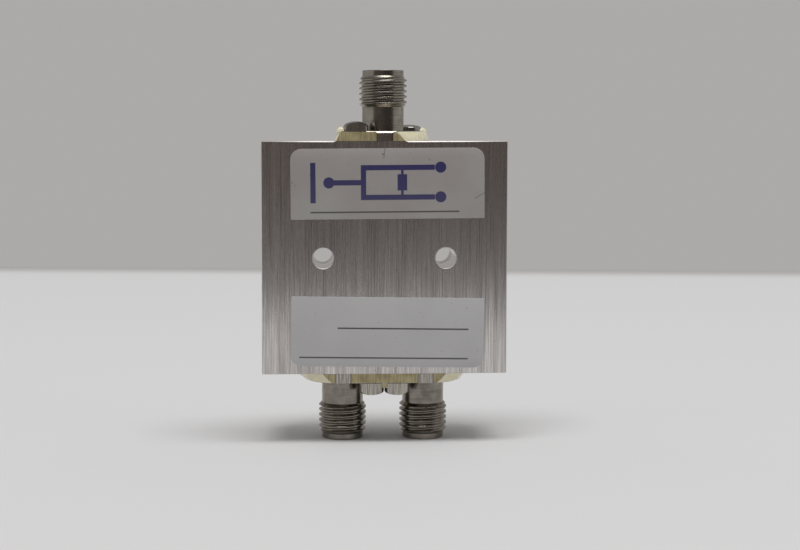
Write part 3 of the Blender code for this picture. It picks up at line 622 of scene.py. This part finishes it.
def stroke_mask(tree, x, z, bars, lines=()):
    """1 inside any bar or line and 0 elsewhere."""
    nearest = FAR_AWAY
    for middle_x, middle_z, half_x, half_z in bars:
        sides = calculate(tree, "ABSOLUTE", calculate(tree, "SUBTRACT", x, middle_x))
        ends = calculate(tree, "ABSOLUTE", calculate(tree, "SUBTRACT", z, middle_z))
        sides = calculate(tree, "SUBTRACT", sides, half_x)
        ends = calculate(tree, "SUBTRACT", ends, half_z)
        nearest = calculate(tree, "MINIMUM", calculate(tree, "MAXIMUM", sides, ends), nearest)
    for start_x, start_z, end_x, end_z, half_width in lines:
        run_x = end_x - start_x
        run_z = end_z - start_z
        squared_run = run_x ** 2 + run_z ** 2 or 1.0
        side = calculate(tree, "SUBTRACT", x, start_x)
        rise = calculate(tree, "SUBTRACT", z, start_z)
        share = calculate(
            tree, "DIVIDE", weigh(tree, (side, run_x), (rise, run_z)), squared_run, clamp=True)
        side = calculate(tree, "SUBTRACT", side, calculate(tree, "MULTIPLY", share, run_x))
        rise = calculate(tree, "SUBTRACT", rise, calculate(tree, "MULTIPLY", share, run_z))
        away = calculate(tree, "SUBTRACT", diagonal(tree, side, rise), half_width)
        nearest = calculate(tree, "MINIMUM", away, nearest)
    return remap(tree, nearest, INK_EDGE, -INK_EDGE)


print("strokes:", len(UPPER_BARS + UPPER_DOTS + UPPER_RULES), "above,", len(LOWER_RULES), "below")

# %% The label's film
# The upper half's tones are painted darker than the lower half's: painted shade on the upper half and
# painted light on the lower.
UPPER_TONES_WITH_PAINTED_SHADE = ((0.455, 0.445, 0.425), (0.42, 0.39, 0.375))
LOWER_TONES_WITH_PAINTED_LIGHT = ((0.575, 0.575, 0.58), (0.545, 0.545, 0.555))
INK_BLUE = (0.032, 0.026, 0.135)
INK_BLACK = (0.045, 0.042, 0.042)
INK_COVER = 0.92
SPECK_BROWN = (0.2, 0.18, 0.17)
SPECK_COVER = 0.6
WEAR_BROWN = (0.09, 0.075, 0.07)
WEAR_COVER = 0.7
FILM_GLOSS = 0.8
UPPER_TILT = math.radians(-0.4)
LOWER_TILT = math.radians(0.8)


def label_film(node, tilt, tones_with_painted_light, drawing, rules, marks):
    """Satin film with a faint tooth, specks and its print, on tones that carry painted light and shade."""
    material, tree, surface, place = new_material(f"{node}_film")
    low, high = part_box(node)
    turn = Matrix.Rotation(-tilt, 3, "Y")
    flat = moved(tree, place, -(turn @ ((low + high) / 2)) / MM, (0.0, -tilt, 0.0), 1.0 / MM)
    x, y, z = split_axes(tree, flat)
    tooth = noise(tree, place, 9000.0, 2.0)
    cloud = noise(tree, place, 160.0, 2.0)
    speck = use_group(tree, SPECKS, place, Size=0.35 * MM, Amount=0.26)
    colour = blend_colours(tree, spread(tree, cloud), *tones_with_painted_light)
    colour = blend_colours(tree, calculate(tree, "MULTIPLY", speck, SPECK_COVER), colour, SPECK_BROWN)
    if drawing:
        colour = blend_colours(tree, stroke_mask(tree, x, z, *drawing), colour, INK_BLUE)
    ink = calculate(tree, "MULTIPLY", stroke_mask(tree, x, z, rules), INK_COVER)
    colour = blend_colours(tree, ink, colour, INK_BLACK)
    if marks:
        worn = calculate(tree, "MULTIPLY", stroke_mask(tree, x, z, (), marks), WEAR_COVER)
        colour = blend_colours(tree, worn, colour, WEAR_BROWN)
    surface.inputs["Specular IOR Level"].default_value = FILM_GLOSS
    dull = spread(tree, tooth, 0.34, 0.42)
    set_surface(tree, surface, colour, dull, metallic=0.0, height=tooth, distance=0.004 * MM)
    return material


UPPER_FILM = label_film(
    "upper_label", UPPER_TILT, UPPER_TONES_WITH_PAINTED_SHADE, (UPPER_BARS, UPPER_DOTS), UPPER_RULES, WEAR_MARKS)
LOWER_FILM = label_film("lower_label", LOWER_TILT, LOWER_TONES_WITH_PAINTED_LIGHT, (), LOWER_RULES, ())
print("made:", UPPER_FILM.name, LOWER_FILM.name)

# %% [markdown]
# ## Threaded jack bodies
#
# The barrel of a jack is one turned piece with a right-hand thread of 36 turns to the inch. The outline of
# one turn of the thread is spun upwards along a helix, so that each turn meets the last. What this rod
# shares with the turned blank is the barrel, with its plain neck, the chamfered ends of the thread and the
# rim. A low collar fills the first groove, where the real thread runs out. Each jack is made on its own
# axis, with the back of its flange at 0, and then moved to its place.

# %% Place the jacks
JACK_NAMES = ("input_jack", "output_jack_left", "output_jack_right")
HALF_TURN = Matrix.Rotation(math.pi, 4, "X")


def jack_place(name):
    """The matrix that takes a jack from its own axis, with its flange's back at 0, to its place."""
    low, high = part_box(f"{name}_insulator")
    body_low, body_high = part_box(f"{name}_body")
    x = (low.x + high.x) / 2
    y = (low.y + high.y) / 2
    if body_low.z > BLOCK_CENTRE.z:
        return Matrix.Translation((x, y, body_low.z))
    return Matrix.Translation((x, y, body_high.z)) @ HALF_TURN


JACK_PLACES = {name: jack_place(name) for name in JACK_NAMES}
for jack, place in JACK_PLACES.items():
    print(jack, "starts in mm at", [round(value / MM, 2) for value in place.translation])

# %% Turn and thread a barrel
FLANGE_THICKNESS = 1.24 * MM
BARREL_FOOT = 0.5 * MM
NECK_TOP = FLANGE_THICKNESS + 3.15 * MM
THREAD_TOP = NECK_TOP + 4.03 * MM
JACK_END = NECK_TOP + 4.75 * MM
NECK_RADIUS = 2.725 * MM
CREST_RADIUS = 3.13 * MM
ROOT_RADIUS = 2.80 * MM
RIM_RADIUS = 2.7 * MM
RIM_CHAMFER = 0.03 * MM
FOOT_CHAMFER = 0.38 * MM
LEAD_CHAMFER = 0.45 * MM
COLLAR_RADIUS = 2.92 * MM
COLLAR_HEIGHT = 0.45 * MM
THREAD_STARTS = {"input_jack": 0.64 * MM, "output_jack_left": 0.0, "output_jack_right": 0.0}
THREAD_PITCH = 25.4 * MM / 36
# One turn: the share of the pitch, then the share of the thread's depth
THREAD_OUTLINE = [
    (0.0, 0.0), (0.08, 0.0), (0.14, 0.077), (0.39, 0.987), (0.40, 1.0),
    (0.60, 1.0), (0.61, 0.987), (0.86, 0.077), (0.92, 0.0), (1.0, 0.0)]
SPARE_TURNS = 3
BARREL_STEPS = 96


def turned_blank():
    """The barrel before its thread is cut, with some room outside the crests."""
    room = 0.02 * MM
    lead_slope = LEAD_CHAMFER / (CREST_RADIUS - RIM_RADIUS)
    return spun([
        (0.0, BARREL_FOOT),
        (NECK_RADIUS, BARREL_FOOT),
        (NECK_RADIUS, NECK_TOP),
        (CREST_RADIUS - FOOT_CHAMFER, NECK_TOP),
        (CREST_RADIUS + room, NECK_TOP + FOOT_CHAMFER + room),
        (CREST_RADIUS + room, THREAD_TOP - LEAD_CHAMFER - room * lead_slope),
        (RIM_RADIUS, THREAD_TOP),
        (RIM_RADIUS, JACK_END - RIM_CHAMFER),
        (RIM_RADIUS - RIM_CHAMFER, JACK_END),
        (0.0, JACK_END),
    ], BARREL_STEPS)


def threaded_barrel(start):
    """The outside of a barrel, as a closed solid along its own axis."""
    over = 0.2 * MM
    turns = math.ceil((JACK_END - BARREL_FOOT) / THREAD_PITCH) + SPARE_TURNS + 1
    foot = BARREL_FOOT - SPARE_TURNS * THREAD_PITCH + start
    depth = CREST_RADIUS - ROOT_RADIUS
    outline = [(ROOT_RADIUS + depth * rise, foot + phase * THREAD_PITCH) for phase, rise in THREAD_OUTLINE]
    rod = spun(outline, BARREL_STEPS, turns, THREAD_PITCH)
    for vertex in rod.verts:
        if abs(vertex.co.z - NECK_TOP) < COLLAR_HEIGHT:
            vertex.co.xy *= max(1.0, COLLAR_RADIUS / vertex.co.xy.length)
    cut_flat(rod, (0.0, 0.0, BARREL_FOOT - over), DOWN)
    cut_flat(rod, (0.0, 0.0, JACK_END + over), UP)
    return apply_boolean(rod, turned_blank(), "INTERSECT")


print("thread pitch in mm:", round(THREAD_PITCH / MM, 4), "jack length:", round(JACK_END / MM, 2))

# %% [markdown]
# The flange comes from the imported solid, because it has that form already. Only a stub of its neck is kept
# to join it to the barrel. The upper flange's front edge is broken by a tilted cut, which mirrors the
# lamp as a white line.

# %% The bore and the flange
MOUTH_RADIUS = 2.3 * MM
MOUTH_DEPTH = 1.98 * MM
SEAT_RADIUS = 2.085 * MM
STUB_TOP = 2.6 * MM
FLANGE_BREAK = 0.2 * MM
BREAK_TILT = math.radians(50)
BREAK_START = -3.7 * MM
BREAK_LENGTH = 10.0 * MM


def bore_cutter():
    """The mouth, with a small lead-in, and the seat of the insulator."""
    lead_in = 0.1 * MM
    over = 0.5 * MM
    return spun([
        (0.0, JACK_END + over),
        (MOUTH_RADIUS + lead_in + over, JACK_END + over),
        (MOUTH_RADIUS, JACK_END - lead_in),
        (MOUTH_RADIUS, JACK_END - MOUTH_DEPTH),
        (SEAT_RADIUS, JACK_END - MOUTH_DEPTH),
        (SEAT_RADIUS, -over),
        (0.0, -over),
    ], BARREL_STEPS)


def edge_cutter(place):
    """A tilted box that breaks the upper flange's front edge, from its front screw to the right."""
    depth = 2.0 * MM
    box = box_solid((BREAK_LENGTH, depth, depth), (0.0, 0.0, depth / 2))
    corner = Vector((
        BREAK_START + BREAK_LENGTH / 2, FRONT_FACE - place.translation.y, FLANGE_THICKNESS - FLANGE_BREAK))
    tilted = Matrix.Translation(corner) @ Matrix.Rotation(BREAK_TILT, 4, "X")
    bmesh.ops.transform(box, matrix=tilted, verts=box.verts)
    return box


def flange_plate(name, place):
    """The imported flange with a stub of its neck, in the jack's own axes."""
    solid = merged_copy(f"{name}_body")
    bmesh.ops.transform(solid, matrix=place.inverted(), verts=solid.verts)
    rim = slice_at(solid, (0.0, 0.0, STUB_TOP), UP, clear=True)
    bmesh.ops.triangle_fill(solid, use_beauty=True, edges=rim)
    if name == "input_jack":
        solid = apply_boolean(solid, edge_cutter(place), "DIFFERENCE")
    return solid


print("mouth in mm:", round(2 * MOUTH_RADIUS / MM, 2), "wide,", round(MOUTH_DEPTH / MM, 2), "deep")

# %% Build the jack bodies
FLUSH = 0.01 * MM
FACING = 0.9


def is_ground(centre, normal):
    """Whether a face lies in the plane of the block's front face."""
    return centre.y < FRONT_FACE + FLUSH and normal.y < -FACING


def build_jack_body(name, place):
    """Join the threaded barrel to its flange and bore it."""
    body = apply_boolean(threaded_barrel(THREAD_STARTS[name]), flange_plate(name, place), "UNION")
    body = apply_boolean(body, bore_cutter(), "DIFFERENCE")
    bmesh.ops.transform(body, matrix=place, verts=body.verts)
    flats = mark_faces(body, 1, is_ground)
    piece = finish_piece(f"{name}_shell", body, (STEEL, GROUND_STEEL), f"{name}_body")
    print(piece.name, len(piece.data.polygons), "faces,", flats, "of them ground")


for jack, place in JACK_PLACES.items():
    build_jack_body(jack, place)

# %% [markdown]
# ## Flange screws
#
# Each flange is held by two slotted pan-head screws. The outline of a screw is spun round its axis, and a
# long box cuts the slot. The front screws were ground off with the block, so a plane cuts them too.

# %% Build the flange screws
SCREW_HEAD_RADIUS = 1.62 * MM
SCREW_SHANK_RADIUS = 0.85 * MM
SCREW_RISES = {"input_jack": 0.8 * MM, "output_jack_left": 0.55 * MM, "output_jack_right": 0.55 * MM}
REAR_SCREW_RISE = 0.45 * MM
SCREW_SLOT = 0.45 * MM
SCREW_SLOT_DEPTH = 0.4 * MM
SCREW_SEAT = FLANGE_THICKNESS + 0.02 * MM
SCREW_TIP = 0.4 * MM
SCREW_STEPS = 48
DOME_STEPS = 8


def screw_outline(reach, tip, rise):
    """A screw's outline from the top of its dome to its tip, with the underside of its head at 0."""
    points = []
    for i in range(DOME_STEPS + 1):
        angle = math.pi / 2 * i / DOME_STEPS
        points.append((SCREW_HEAD_RADIUS * math.sin(angle), reach - rise * (1.0 - math.cos(angle))))
    return points + [
        (SCREW_HEAD_RADIUS, 0.0), (SCREW_SHANK_RADIUS, 0.0), (SCREW_SHANK_RADIUS, SCREW_TIP - tip),
        (SCREW_SHANK_RADIUS / 2, -tip), (0.0, -tip)]


def build_flange_screw(jack, end):
    """One screw: dome, slot, shank and the flat that was ground on it."""
    node = f"{jack}_screw_{end}"
    low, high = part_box(node)
    back = JACK_PLACES[jack].translation.z
    up = 1.0 if back > BLOCK_CENTRE.z else -1.0
    seat = back + up * SCREW_SEAT
    reach = high.z - seat if up > 0 else seat - low.z
    tip = seat - low.z if up > 0 else high.z - seat
    x = (low.x + high.x) / 2
    y = high.y - SCREW_HEAD_RADIUS if end == "front" else low.y + SCREW_HEAD_RADIUS
    rise = SCREW_RISES[jack] if end == "front" else REAR_SCREW_RISE
    slot = box_solid((4 * SCREW_HEAD_RADIUS, SCREW_SLOT, 2 * SCREW_SLOT_DEPTH), (0.0, 0.0, reach))
    screw = apply_boolean(spun(screw_outline(reach, tip, rise), SCREW_STEPS), slot, "DIFFERENCE")
    turn = Matrix.Identity(4) if up > 0 else HALF_TURN
    bmesh.ops.transform(screw, matrix=Matrix.Translation((x, y, seat)) @ turn, verts=screw.verts)
    cut_flat(screw, (0.0, FRONT_FACE, 0.0), (0.0, -1.0, 0.0))
    cut_flat(screw, (0.0, high.y, 0.0), (0.0, 1.0, 0.0))
    flats = mark_faces(screw, 1, is_ground)
    finish_piece(f"{jack}_pan_screw_{end}", screw, (SCREW_STEEL, GROUND_STEEL), node)
    print(node, "head height in mm:", round(reach / MM, 2), "ground faces:", flats)


for jack in JACK_NAMES:
    for end in ("front", "rear"):
        build_flange_screw(jack, end)

# %% [markdown]
# ## Pieces that keep their solid's form
#
# The block, its cover and its screws already have the right form, so a merged copy of each is shaded
# smooth. The block's front edge is sharp under the compound, because both were ground together. Along the
# rest of the top it is broken a little wider than on the solid, which catches the light.

# %% The block's front edge
TOP_EDGE_BREAK = 0.13 * MM
EDGE_SEARCH = 0.1 * MM
GROUND_TAPER = 0.4 * MM


def ground_span(up):
    """The lowest and highest X of the compound that was ground level with the front face."""
    points = [
        vertex.co for name in NODES if "_seal_" in name for vertex in NODES[name].data.vertices
        if vertex.co.y < FRONT_FACE + FLUSH and (vertex.co.z > BLOCK_CENTRE.z) == up]
    return min(point.x for point in points), max(point.x for point in points)


def close_front_edge(solid, level, up):
    """Make the block's front edge sharp under the compound, and wider at the rest of the top."""
    low, high = ground_span(up)
    for x in (low - GROUND_TAPER, low, high, high + GROUND_TAPER):
        slice_at(solid, (x, 0.0, 0.0), (1.0, 0.0, 0.0))
    for vertex in solid.verts:
        point = vertex.co
        near = abs(point.z - level) < EDGE_SEARCH and point.y < FRONT_FACE + EDGE_SEARCH
        if near and low - MERGE < point.x < high + MERGE:
            vertex.co = (point.x, FRONT_FACE, level)
        elif near and up and abs(point.x) < BLOCK_HIGH.x - EDGE_SEARCH:
            if point.y < FRONT_FACE + MERGE:
                vertex.co.z = level - TOP_EDGE_BREAK
            else:
                vertex.co.y = FRONT_FACE + TOP_EDGE_BREAK
    bmesh.ops.remove_doubles(solid, verts=solid.verts, dist=MERGE)
    print("edge sharp in mm from", round(low / MM, 2), "to", round(high / MM, 2))


block = merged_copy("housing")
close_front_edge(block, BLOCK_HIGH.z, True)
close_front_edge(block, BLOCK_LOW.z, False)

# %% [markdown]
# The through holes get a small chamfer at their mouths, which catches the light from above. The chamfers
# and the top and bottom faces are milled, and the walls of the holes are drilled.

# %% Finish the block
HOLE_RADIUS = 1.35 * MM
HOLE_INSET = 7.9375 * MM
HOLE_BREAK = 0.08 * MM
HOLE_CENTRES = [Vector((side * (BLOCK_HIGH.x - HOLE_INSET), 0.0, BLOCK_CENTRE.z)) for side in (-1, 1)]
SLANTED = 0.5


def hole_distance(point):
    """How far a point lies from the axis of the nearer through hole."""
    return min((point - centre).xz.length for centre in HOLE_CENTRES)


def mouth_cutter(centre):
    """A cone that breaks the front edge of a through hole."""
    over = 0.2 * MM
    cone = spun([
        (0.0, -over),
        (HOLE_RADIUS + HOLE_BREAK + over, -over),
        (HOLE_RADIUS - over, HOLE_BREAK + over),
        (0.0, HOLE_BREAK + over),
    ], SCREW_STEPS)
    place = Matrix.Translation((centre.x, FRONT_FACE, centre.z)) @ Matrix.Rotation(-math.pi / 2, 4, "X")
    bmesh.ops.transform(cone, matrix=place, verts=cone.verts)
    return cone


def is_level(centre, normal):
    """Whether a face looks up or down."""
    return abs(normal.z) > SLANTED


def is_mouth(centre, normal):
    """Whether a face is part of the chamfer at the mouth of a hole."""
    return hole_distance(centre) < HOLE_RADIUS + HOLE_BREAK and -FACING < normal.y < -SLANTED


def is_wall(centre, normal):
    """Whether a face is part of the wall of a hole."""
    return hole_distance(centre) < HOLE_RADIUS and abs(normal.y) < SLANTED


for centre in HOLE_CENTRES:
    block = apply_boolean(block, mouth_cutter(centre), "DIFFERENCE")
for index, test in ((1, is_level), (1, is_mouth), (2, is_wall)):
    print(test.__name__, mark_faces(block, index, test), "faces")
finish_piece("milled_block", block, (BRUSHED, MILLED, DRILLED), "housing")

# %% [markdown]
# The cover and its screws only need their finish. The halves of the label were stuck on by hand, so each
# is turned a little, and its cut edge is rounded.

# %% Copy the other plain pieces
SHARP_ANGLE = math.radians(50)
LABEL_EDGE = 0.03 * MM


def soft_copy(node, name, material, width=0.0, tilt=0.0):
    """A merged copy of a node, with its sharp edges rounded and its face turned a little."""
    solid = merged_copy(node)
    if width:
        sharp = [
            edge for edge in solid.edges
            if edge.is_manifold and edge.calc_face_angle_signed(0.0) > SHARP_ANGLE]
        soften(solid, sharp, width)
    if tilt:
        centre = sum((vertex.co for vertex in solid.verts), Vector()) / len(solid.verts)
        bmesh.ops.rotate(solid, cent=centre, matrix=Matrix.Rotation(tilt, 3, "Y"), verts=solid.verts)
    piece = finish_piece(name, solid, (material,), node)
    print(piece.name, "copied with", len(piece.data.polygons), "faces")


soft_copy("rear_cover", "cover_plate", BRUSHED)
soft_copy("upper_label", "upper_label_film", UPPER_FILM, LABEL_EDGE, UPPER_TILT)
soft_copy("lower_label", "lower_label_film", LOWER_FILM, LABEL_EDGE, LOWER_TILT)
for corner in ("top_left", "top_right", "bottom_left", "bottom_right"):
    soft_copy(f"cover_screw_{corner}", f"flat_screw_{corner}", SCREW_STEEL)

# %% [markdown]
# The compound flowed round the flanges before it was ground, so its free edges are rounded, and only its
# ground edges are sharp. On top it climbed against two of the screw heads. There a stretched ball is
# joined to the bead, with room cut out of it for the head.

# %% Lumps of compound by the screw heads
# The screw, then middle and half sizes in millimetres
LUMPS = {
    "input_seal_left": ("input_jack_screw_front", (-5.6, -3.95, 40.3), (0.66, 0.62, 0.85)),
    "input_seal_right": ("input_jack_screw_rear", (4.8, 3.7, 40.25), (1.37, 0.9, 0.88)),
}
LUMP_GAP = 0.03 * MM
HEAD_ROOM = 4 * MM


def with_lump(solid, screw, place, sizes):
    """Join a stretched ball to a bead, with room for the screw head that it leans on."""
    lump = bmesh.new()
    bmesh.ops.create_icosphere(lump, subdivisions=3, radius=MM)
    bmesh.ops.scale(lump, vec=sizes, verts=lump.verts)
    bmesh.ops.translate(lump, vec=Vector(place) * MM, verts=lump.verts)
    cut_flat(lump, (0.0, 0.0, max(vertex.co.z for vertex in solid.verts) - LUMP_GAP), DOWN)
    low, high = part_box(screw)
    y = high.y - SCREW_HEAD_RADIUS if high.y < 0 else low.y + SCREW_HEAD_RADIUS
    radius = SCREW_HEAD_RADIUS + LUMP_GAP
    room = spun([(0.0, 0.0), (radius, 0.0), (radius, HEAD_ROOM), (0.0, HEAD_ROOM)], SCREW_STEPS)
    middle = ((low.x + high.x) / 2, y, JACK_PLACES["input_jack"].translation.z + FLANGE_THICKNESS - LUMP_GAP)
    bmesh.ops.translate(room, vec=middle, verts=room.verts)
    return apply_boolean(solid, apply_boolean(lump, room, "DIFFERENCE"), "UNION")


print("lumps on:", list(LUMPS))

# %% Copy the beads of compound
BEAD_ROUND = 0.22 * MM
GROUND_ROUND = 0.1 * MM
BEAD_ANGLE = math.radians(35)
TOP_SLOPE = 0.95
SIDE_SLOPES = (0.2, 0.6)


def bead_edges(solid, ground):
    """The edges between the top of a bead and its outer side, or its ground front."""
    found = []
    for edge in solid.edges:
        if not edge.is_manifold or edge.calc_face_angle_signed(0.0) < BEAD_ANGLE:
            continue
        side, top = sorted(abs(face.normal.z) for face in edge.link_faces)
        if ground:
            outer = abs(edge.verts[0].co.z - BLOCK_CENTRE.z) > BLOCK_HIGH.z - BLOCK_CENTRE.z + MM
            fits = outer and all(vertex.co.y < FRONT_FACE + MERGE for vertex in edge.verts)
        else:
            free = all(vertex.co.y > FRONT_FACE + MERGE for vertex in edge.verts)
            fits = free and SIDE_SLOPES[0] < side < SIDE_SLOPES[1]
        if fits and top > TOP_SLOPE:
            found.append(edge)
    return found


for seal in [name for name in NODES if "_seal_" in name]:
    bead = merged_copy(seal)
    bmesh.ops.recalc_face_normals(bead, faces=bead.faces)
    rims = bead_edges(bead, ground=False)
    soften(bead, rims, BEAD_ROUND, 3)
    soften(bead, bead_edges(bead, ground=True), GROUND_ROUND)
    if seal in LUMPS:
        bead = with_lump(bead, *LUMPS[seal])
    flats = mark_faces(bead, 1, is_ground)
    finish_piece(f"{seal}_bead", bead, (FREE_COMPOUND, GROUND_COMPOUND), seal)
    print(seal, "rounded edges:", len(rims), "ground faces:", flats)

# %% [markdown]
# ## Inside the jacks and the block
#
# The white sleeves, the plated contacts and the circuit are hardly seen, but a jack's open end shows the
# first two. They keep their solids' forms and get plain finishes with their own fine texture.

# %% Finish the inner pieces
# Light tone, dark tone, metallic, roughness, clouds to the metre, height of the unevenness
INNER_FINISHES = {
    "white_sleeve": ((0.83, 0.82, 0.79), (0.76, 0.74, 0.70), 0.0, 0.42, 1500.0, 0.02 * MM),
    "plated_contact": ((0.86, 0.66, 0.30), (0.74, 0.54, 0.22), 1.0, 0.22, 2500.0, 0.01 * MM),
    "board_laminate": ((0.72, 0.69, 0.58), (0.62, 0.59, 0.48), 0.0, 0.55, 3000.0, 0.02 * MM),
    "etched_copper": ((0.78, 0.40, 0.26), (0.62, 0.30, 0.19), 1.0, 0.3, 2000.0, 0.01 * MM),
    "resistor_ceramic": ((0.09, 0.09, 0.10), (0.05, 0.05, 0.06), 0.0, 0.5, 3000.0, 0.02 * MM),
}
INNER_NODES = {
    "white_sleeve": [f"{jack}_insulator" for jack in JACK_NAMES],
    "plated_contact": [f"{jack}_contact" for jack in JACK_NAMES],
    "board_laminate": ["front_board", "rear_board"],
    "etched_copper": ["copper_circuit"],
    "resistor_ceramic": ["isolation_resistor"],
}


def cloudy_finish(name, light, dark, metallic, roughness, scale, height):
    """A finish of two close colours in soft clouds, with a fine uneven surface."""
    material, tree, surface, place = new_material(name)
    cloud = noise(tree, place, scale, 3.0)
    colour = blend_colours(tree, spread(tree, cloud), dark, light)
    dull = spread(tree, cloud, roughness + 0.08, roughness - 0.04)
    set_surface(tree, surface, colour, dull, metallic=metallic, height=cloud, distance=height)
    return material


for finish, values in INNER_FINISHES.items():
    material = cloudy_finish(finish, *values)
    for node in INNER_NODES[finish]:
        for slot in NODES[node].material_slots:
            slot.material = material
    print(finish, "on", INNER_NODES[finish])

# %% [markdown]
# ## Floor, background and light
#
# The object stands on a pale table whose far edge shows behind it, against a plain grey background. A
# soft lamp hangs almost overhead, a little in front. The table ends in front of the object, out of the
# picture, and beyond it the room is dark: that is what the upper half of the brushed face mirrors.

# %% The table
TABLE_COLOUR = (0.672, 0.672, 0.678)
TABLE_GRAIN = (0.66, 0.66, 0.666)
BACKGROUND_COLOUR = (0.413, 0.402, 0.392)
TABLE_FRONT = 144.0 * MM
TABLE_REAR = 222.0 * MM
TABLE_FADE = 22.0 * MM
TABLE_HALF_WIDTH = 420.0 * MM
TABLE_REAR_SLANT = -0.09
TABLE_ROUGHNESS = 0.75
TABLE_GLOSS = 0.2


def table_paper():
    """Matt pale paper, a little darker at its far edge."""
    material, tree, surface, place = new_material("table_paper")
    x, y, z = split_axes(tree, place)
    back = calculate(tree, "SUBTRACT", y, calculate(tree, "MULTIPLY", x, TABLE_REAR_SLANT))
    fade = remap(tree, back, TABLE_REAR - TABLE_FADE, TABLE_REAR)
    colour = blend_colours(tree, noise(tree, place, 2500.0, 3.0), TABLE_GRAIN, TABLE_COLOUR)
    feed(tree, surface.inputs["Base Color"], blend_colours(tree, fade, colour, BACKGROUND_COLOUR))
    surface.inputs["Roughness"].default_value = TABLE_ROUGHNESS
    surface.inputs["Specular IOR Level"].default_value = TABLE_GLOSS
    return material


def build_table():
    """A flat table top whose far edge runs slightly askew."""
    solid = bmesh.new()
    bmesh.ops.create_grid(solid, x_segments=1, y_segments=1, size=1.0)
    for vertex in solid.verts:
        x = vertex.co.x * TABLE_HALF_WIDTH
        rear = TABLE_REAR + x * TABLE_REAR_SLANT
        vertex.co = (x, rear if vertex.co.y > 0 else -TABLE_FRONT, CAD_BOX[0].z)
    mesh = bpy.data.meshes.new("table")
    mesh.materials.append(table_paper())
    solid.to_mesh(mesh)
    solid.free()
    add_object("table", mesh)
    print("table height in mm:", round(CAD_BOX[0].z / MM, 2))


build_table()

# %% [markdown]
# The background is the world itself. The camera sees it as one pale grey. Everything else is lit by a
# room that is bright at the sides and overhead, grey behind, and dark in front, where the photographer
# stands. The dark sector's sharp sides draw the dark band down the middle of each jack.

# %% The background and the room
FRONT_LEFT = (0.15, 0.125, 0.115)
FRONT_RIGHT = (0.062, 0.05, 0.047)
FRONT_LOW = (0.25, 0.25, 0.25)
SIDE_ROOM = (0.64, 0.625, 0.61)
CEILING = (0.42, 0.415, 0.41)

# Where one tone gives way to the next, as parts of a direction's x, y or z
LEFT_TO_RIGHT = (-0.35, 0.35)
FRONT_TO_SIDE = (-0.6, -0.5)
SIDE_TO_REAR = (0.3, 0.9)
LOW_TO_FRONT = (-0.15, -0.06)
WALL_TO_CEILING = (0.5, 0.8)


def build_world():
    """A plain background for the camera, and a room for light and reflections."""
    world = bpy.data.worlds.new("studio")
    world.use_nodes = True
    tree = world.node_tree
    tree.nodes.clear()
    x, y, z = split_axes(tree, add_node(tree, "ShaderNodeTexCoord").outputs["Generated"])
    level = diagonal(tree, x, y)
    side = calculate(tree, "DIVIDE", x, level)
    depth = calculate(tree, "DIVIDE", y, level)
    front = blend_colours(tree, remap(tree, side, *LEFT_TO_RIGHT), FRONT_LEFT, FRONT_RIGHT)
    front = blend_colours(tree, remap(tree, z, *LOW_TO_FRONT), FRONT_LOW, front)
    walls = blend_colours(tree, remap(tree, depth, *SIDE_TO_REAR), SIDE_ROOM, BACKGROUND_COLOUR)
    room = blend_colours(tree, remap(tree, depth, *FRONT_TO_SIDE), front, walls)
    room = blend_colours(tree, remap(tree, z, *WALL_TO_CEILING), room, CEILING)
    seen = add_node(tree, "ShaderNodeLightPath").outputs["Is Camera Ray"]
    background = add_node(tree, "ShaderNodeBackground")
    output = add_node(tree, "ShaderNodeOutputWorld")
    feed(tree, background.inputs["Color"], blend_colours(tree, seen, room, BACKGROUND_COLOUR))
    feed(tree, output.inputs["Surface"], background.outputs["Background"])
    bpy.context.scene.world = world
    print("world:", world.name, "with", len(tree.nodes), "nodes")


build_world()

# %% [markdown]
# The lamp is oblong and soft. It gives the shadow under the block its wide soft ends, and the broken edges
# of the block and the flange their bright lines.

# %% The lamp
LAMP_ELEVATION = math.radians(80)
LAMP_TO_THE_RIGHT = math.radians(12)
LAMP_DISTANCE = 1500.0 * MM
LAMP_WIDTH = 1250.0 * MM
LAMP_DEPTH = 420.0 * MM
LAMP_POWER = 15.2


def build_lamp():
    """A soft oblong lamp that faces the block."""
    level = math.cos(LAMP_ELEVATION)
    towards = Vector((
        level * math.sin(LAMP_TO_THE_RIGHT), -level * math.cos(LAMP_TO_THE_RIGHT), math.sin(LAMP_ELEVATION)))
    data = bpy.data.lights.new("soft_lamp", "AREA")
    data.shape = "RECTANGLE"
    data.size = LAMP_WIDTH
    data.size_y = LAMP_DEPTH
    data.energy = LAMP_POWER
    lamp = add_object("soft_lamp", data)
    lamp.location = BLOCK_CENTRE + towards * LAMP_DISTANCE
    lamp.rotation_euler = towards.to_track_quat("Z", "Y").to_euler()
    print("lamp in mm at", [round(value / MM) for value in lamp.location])


build_lamp()
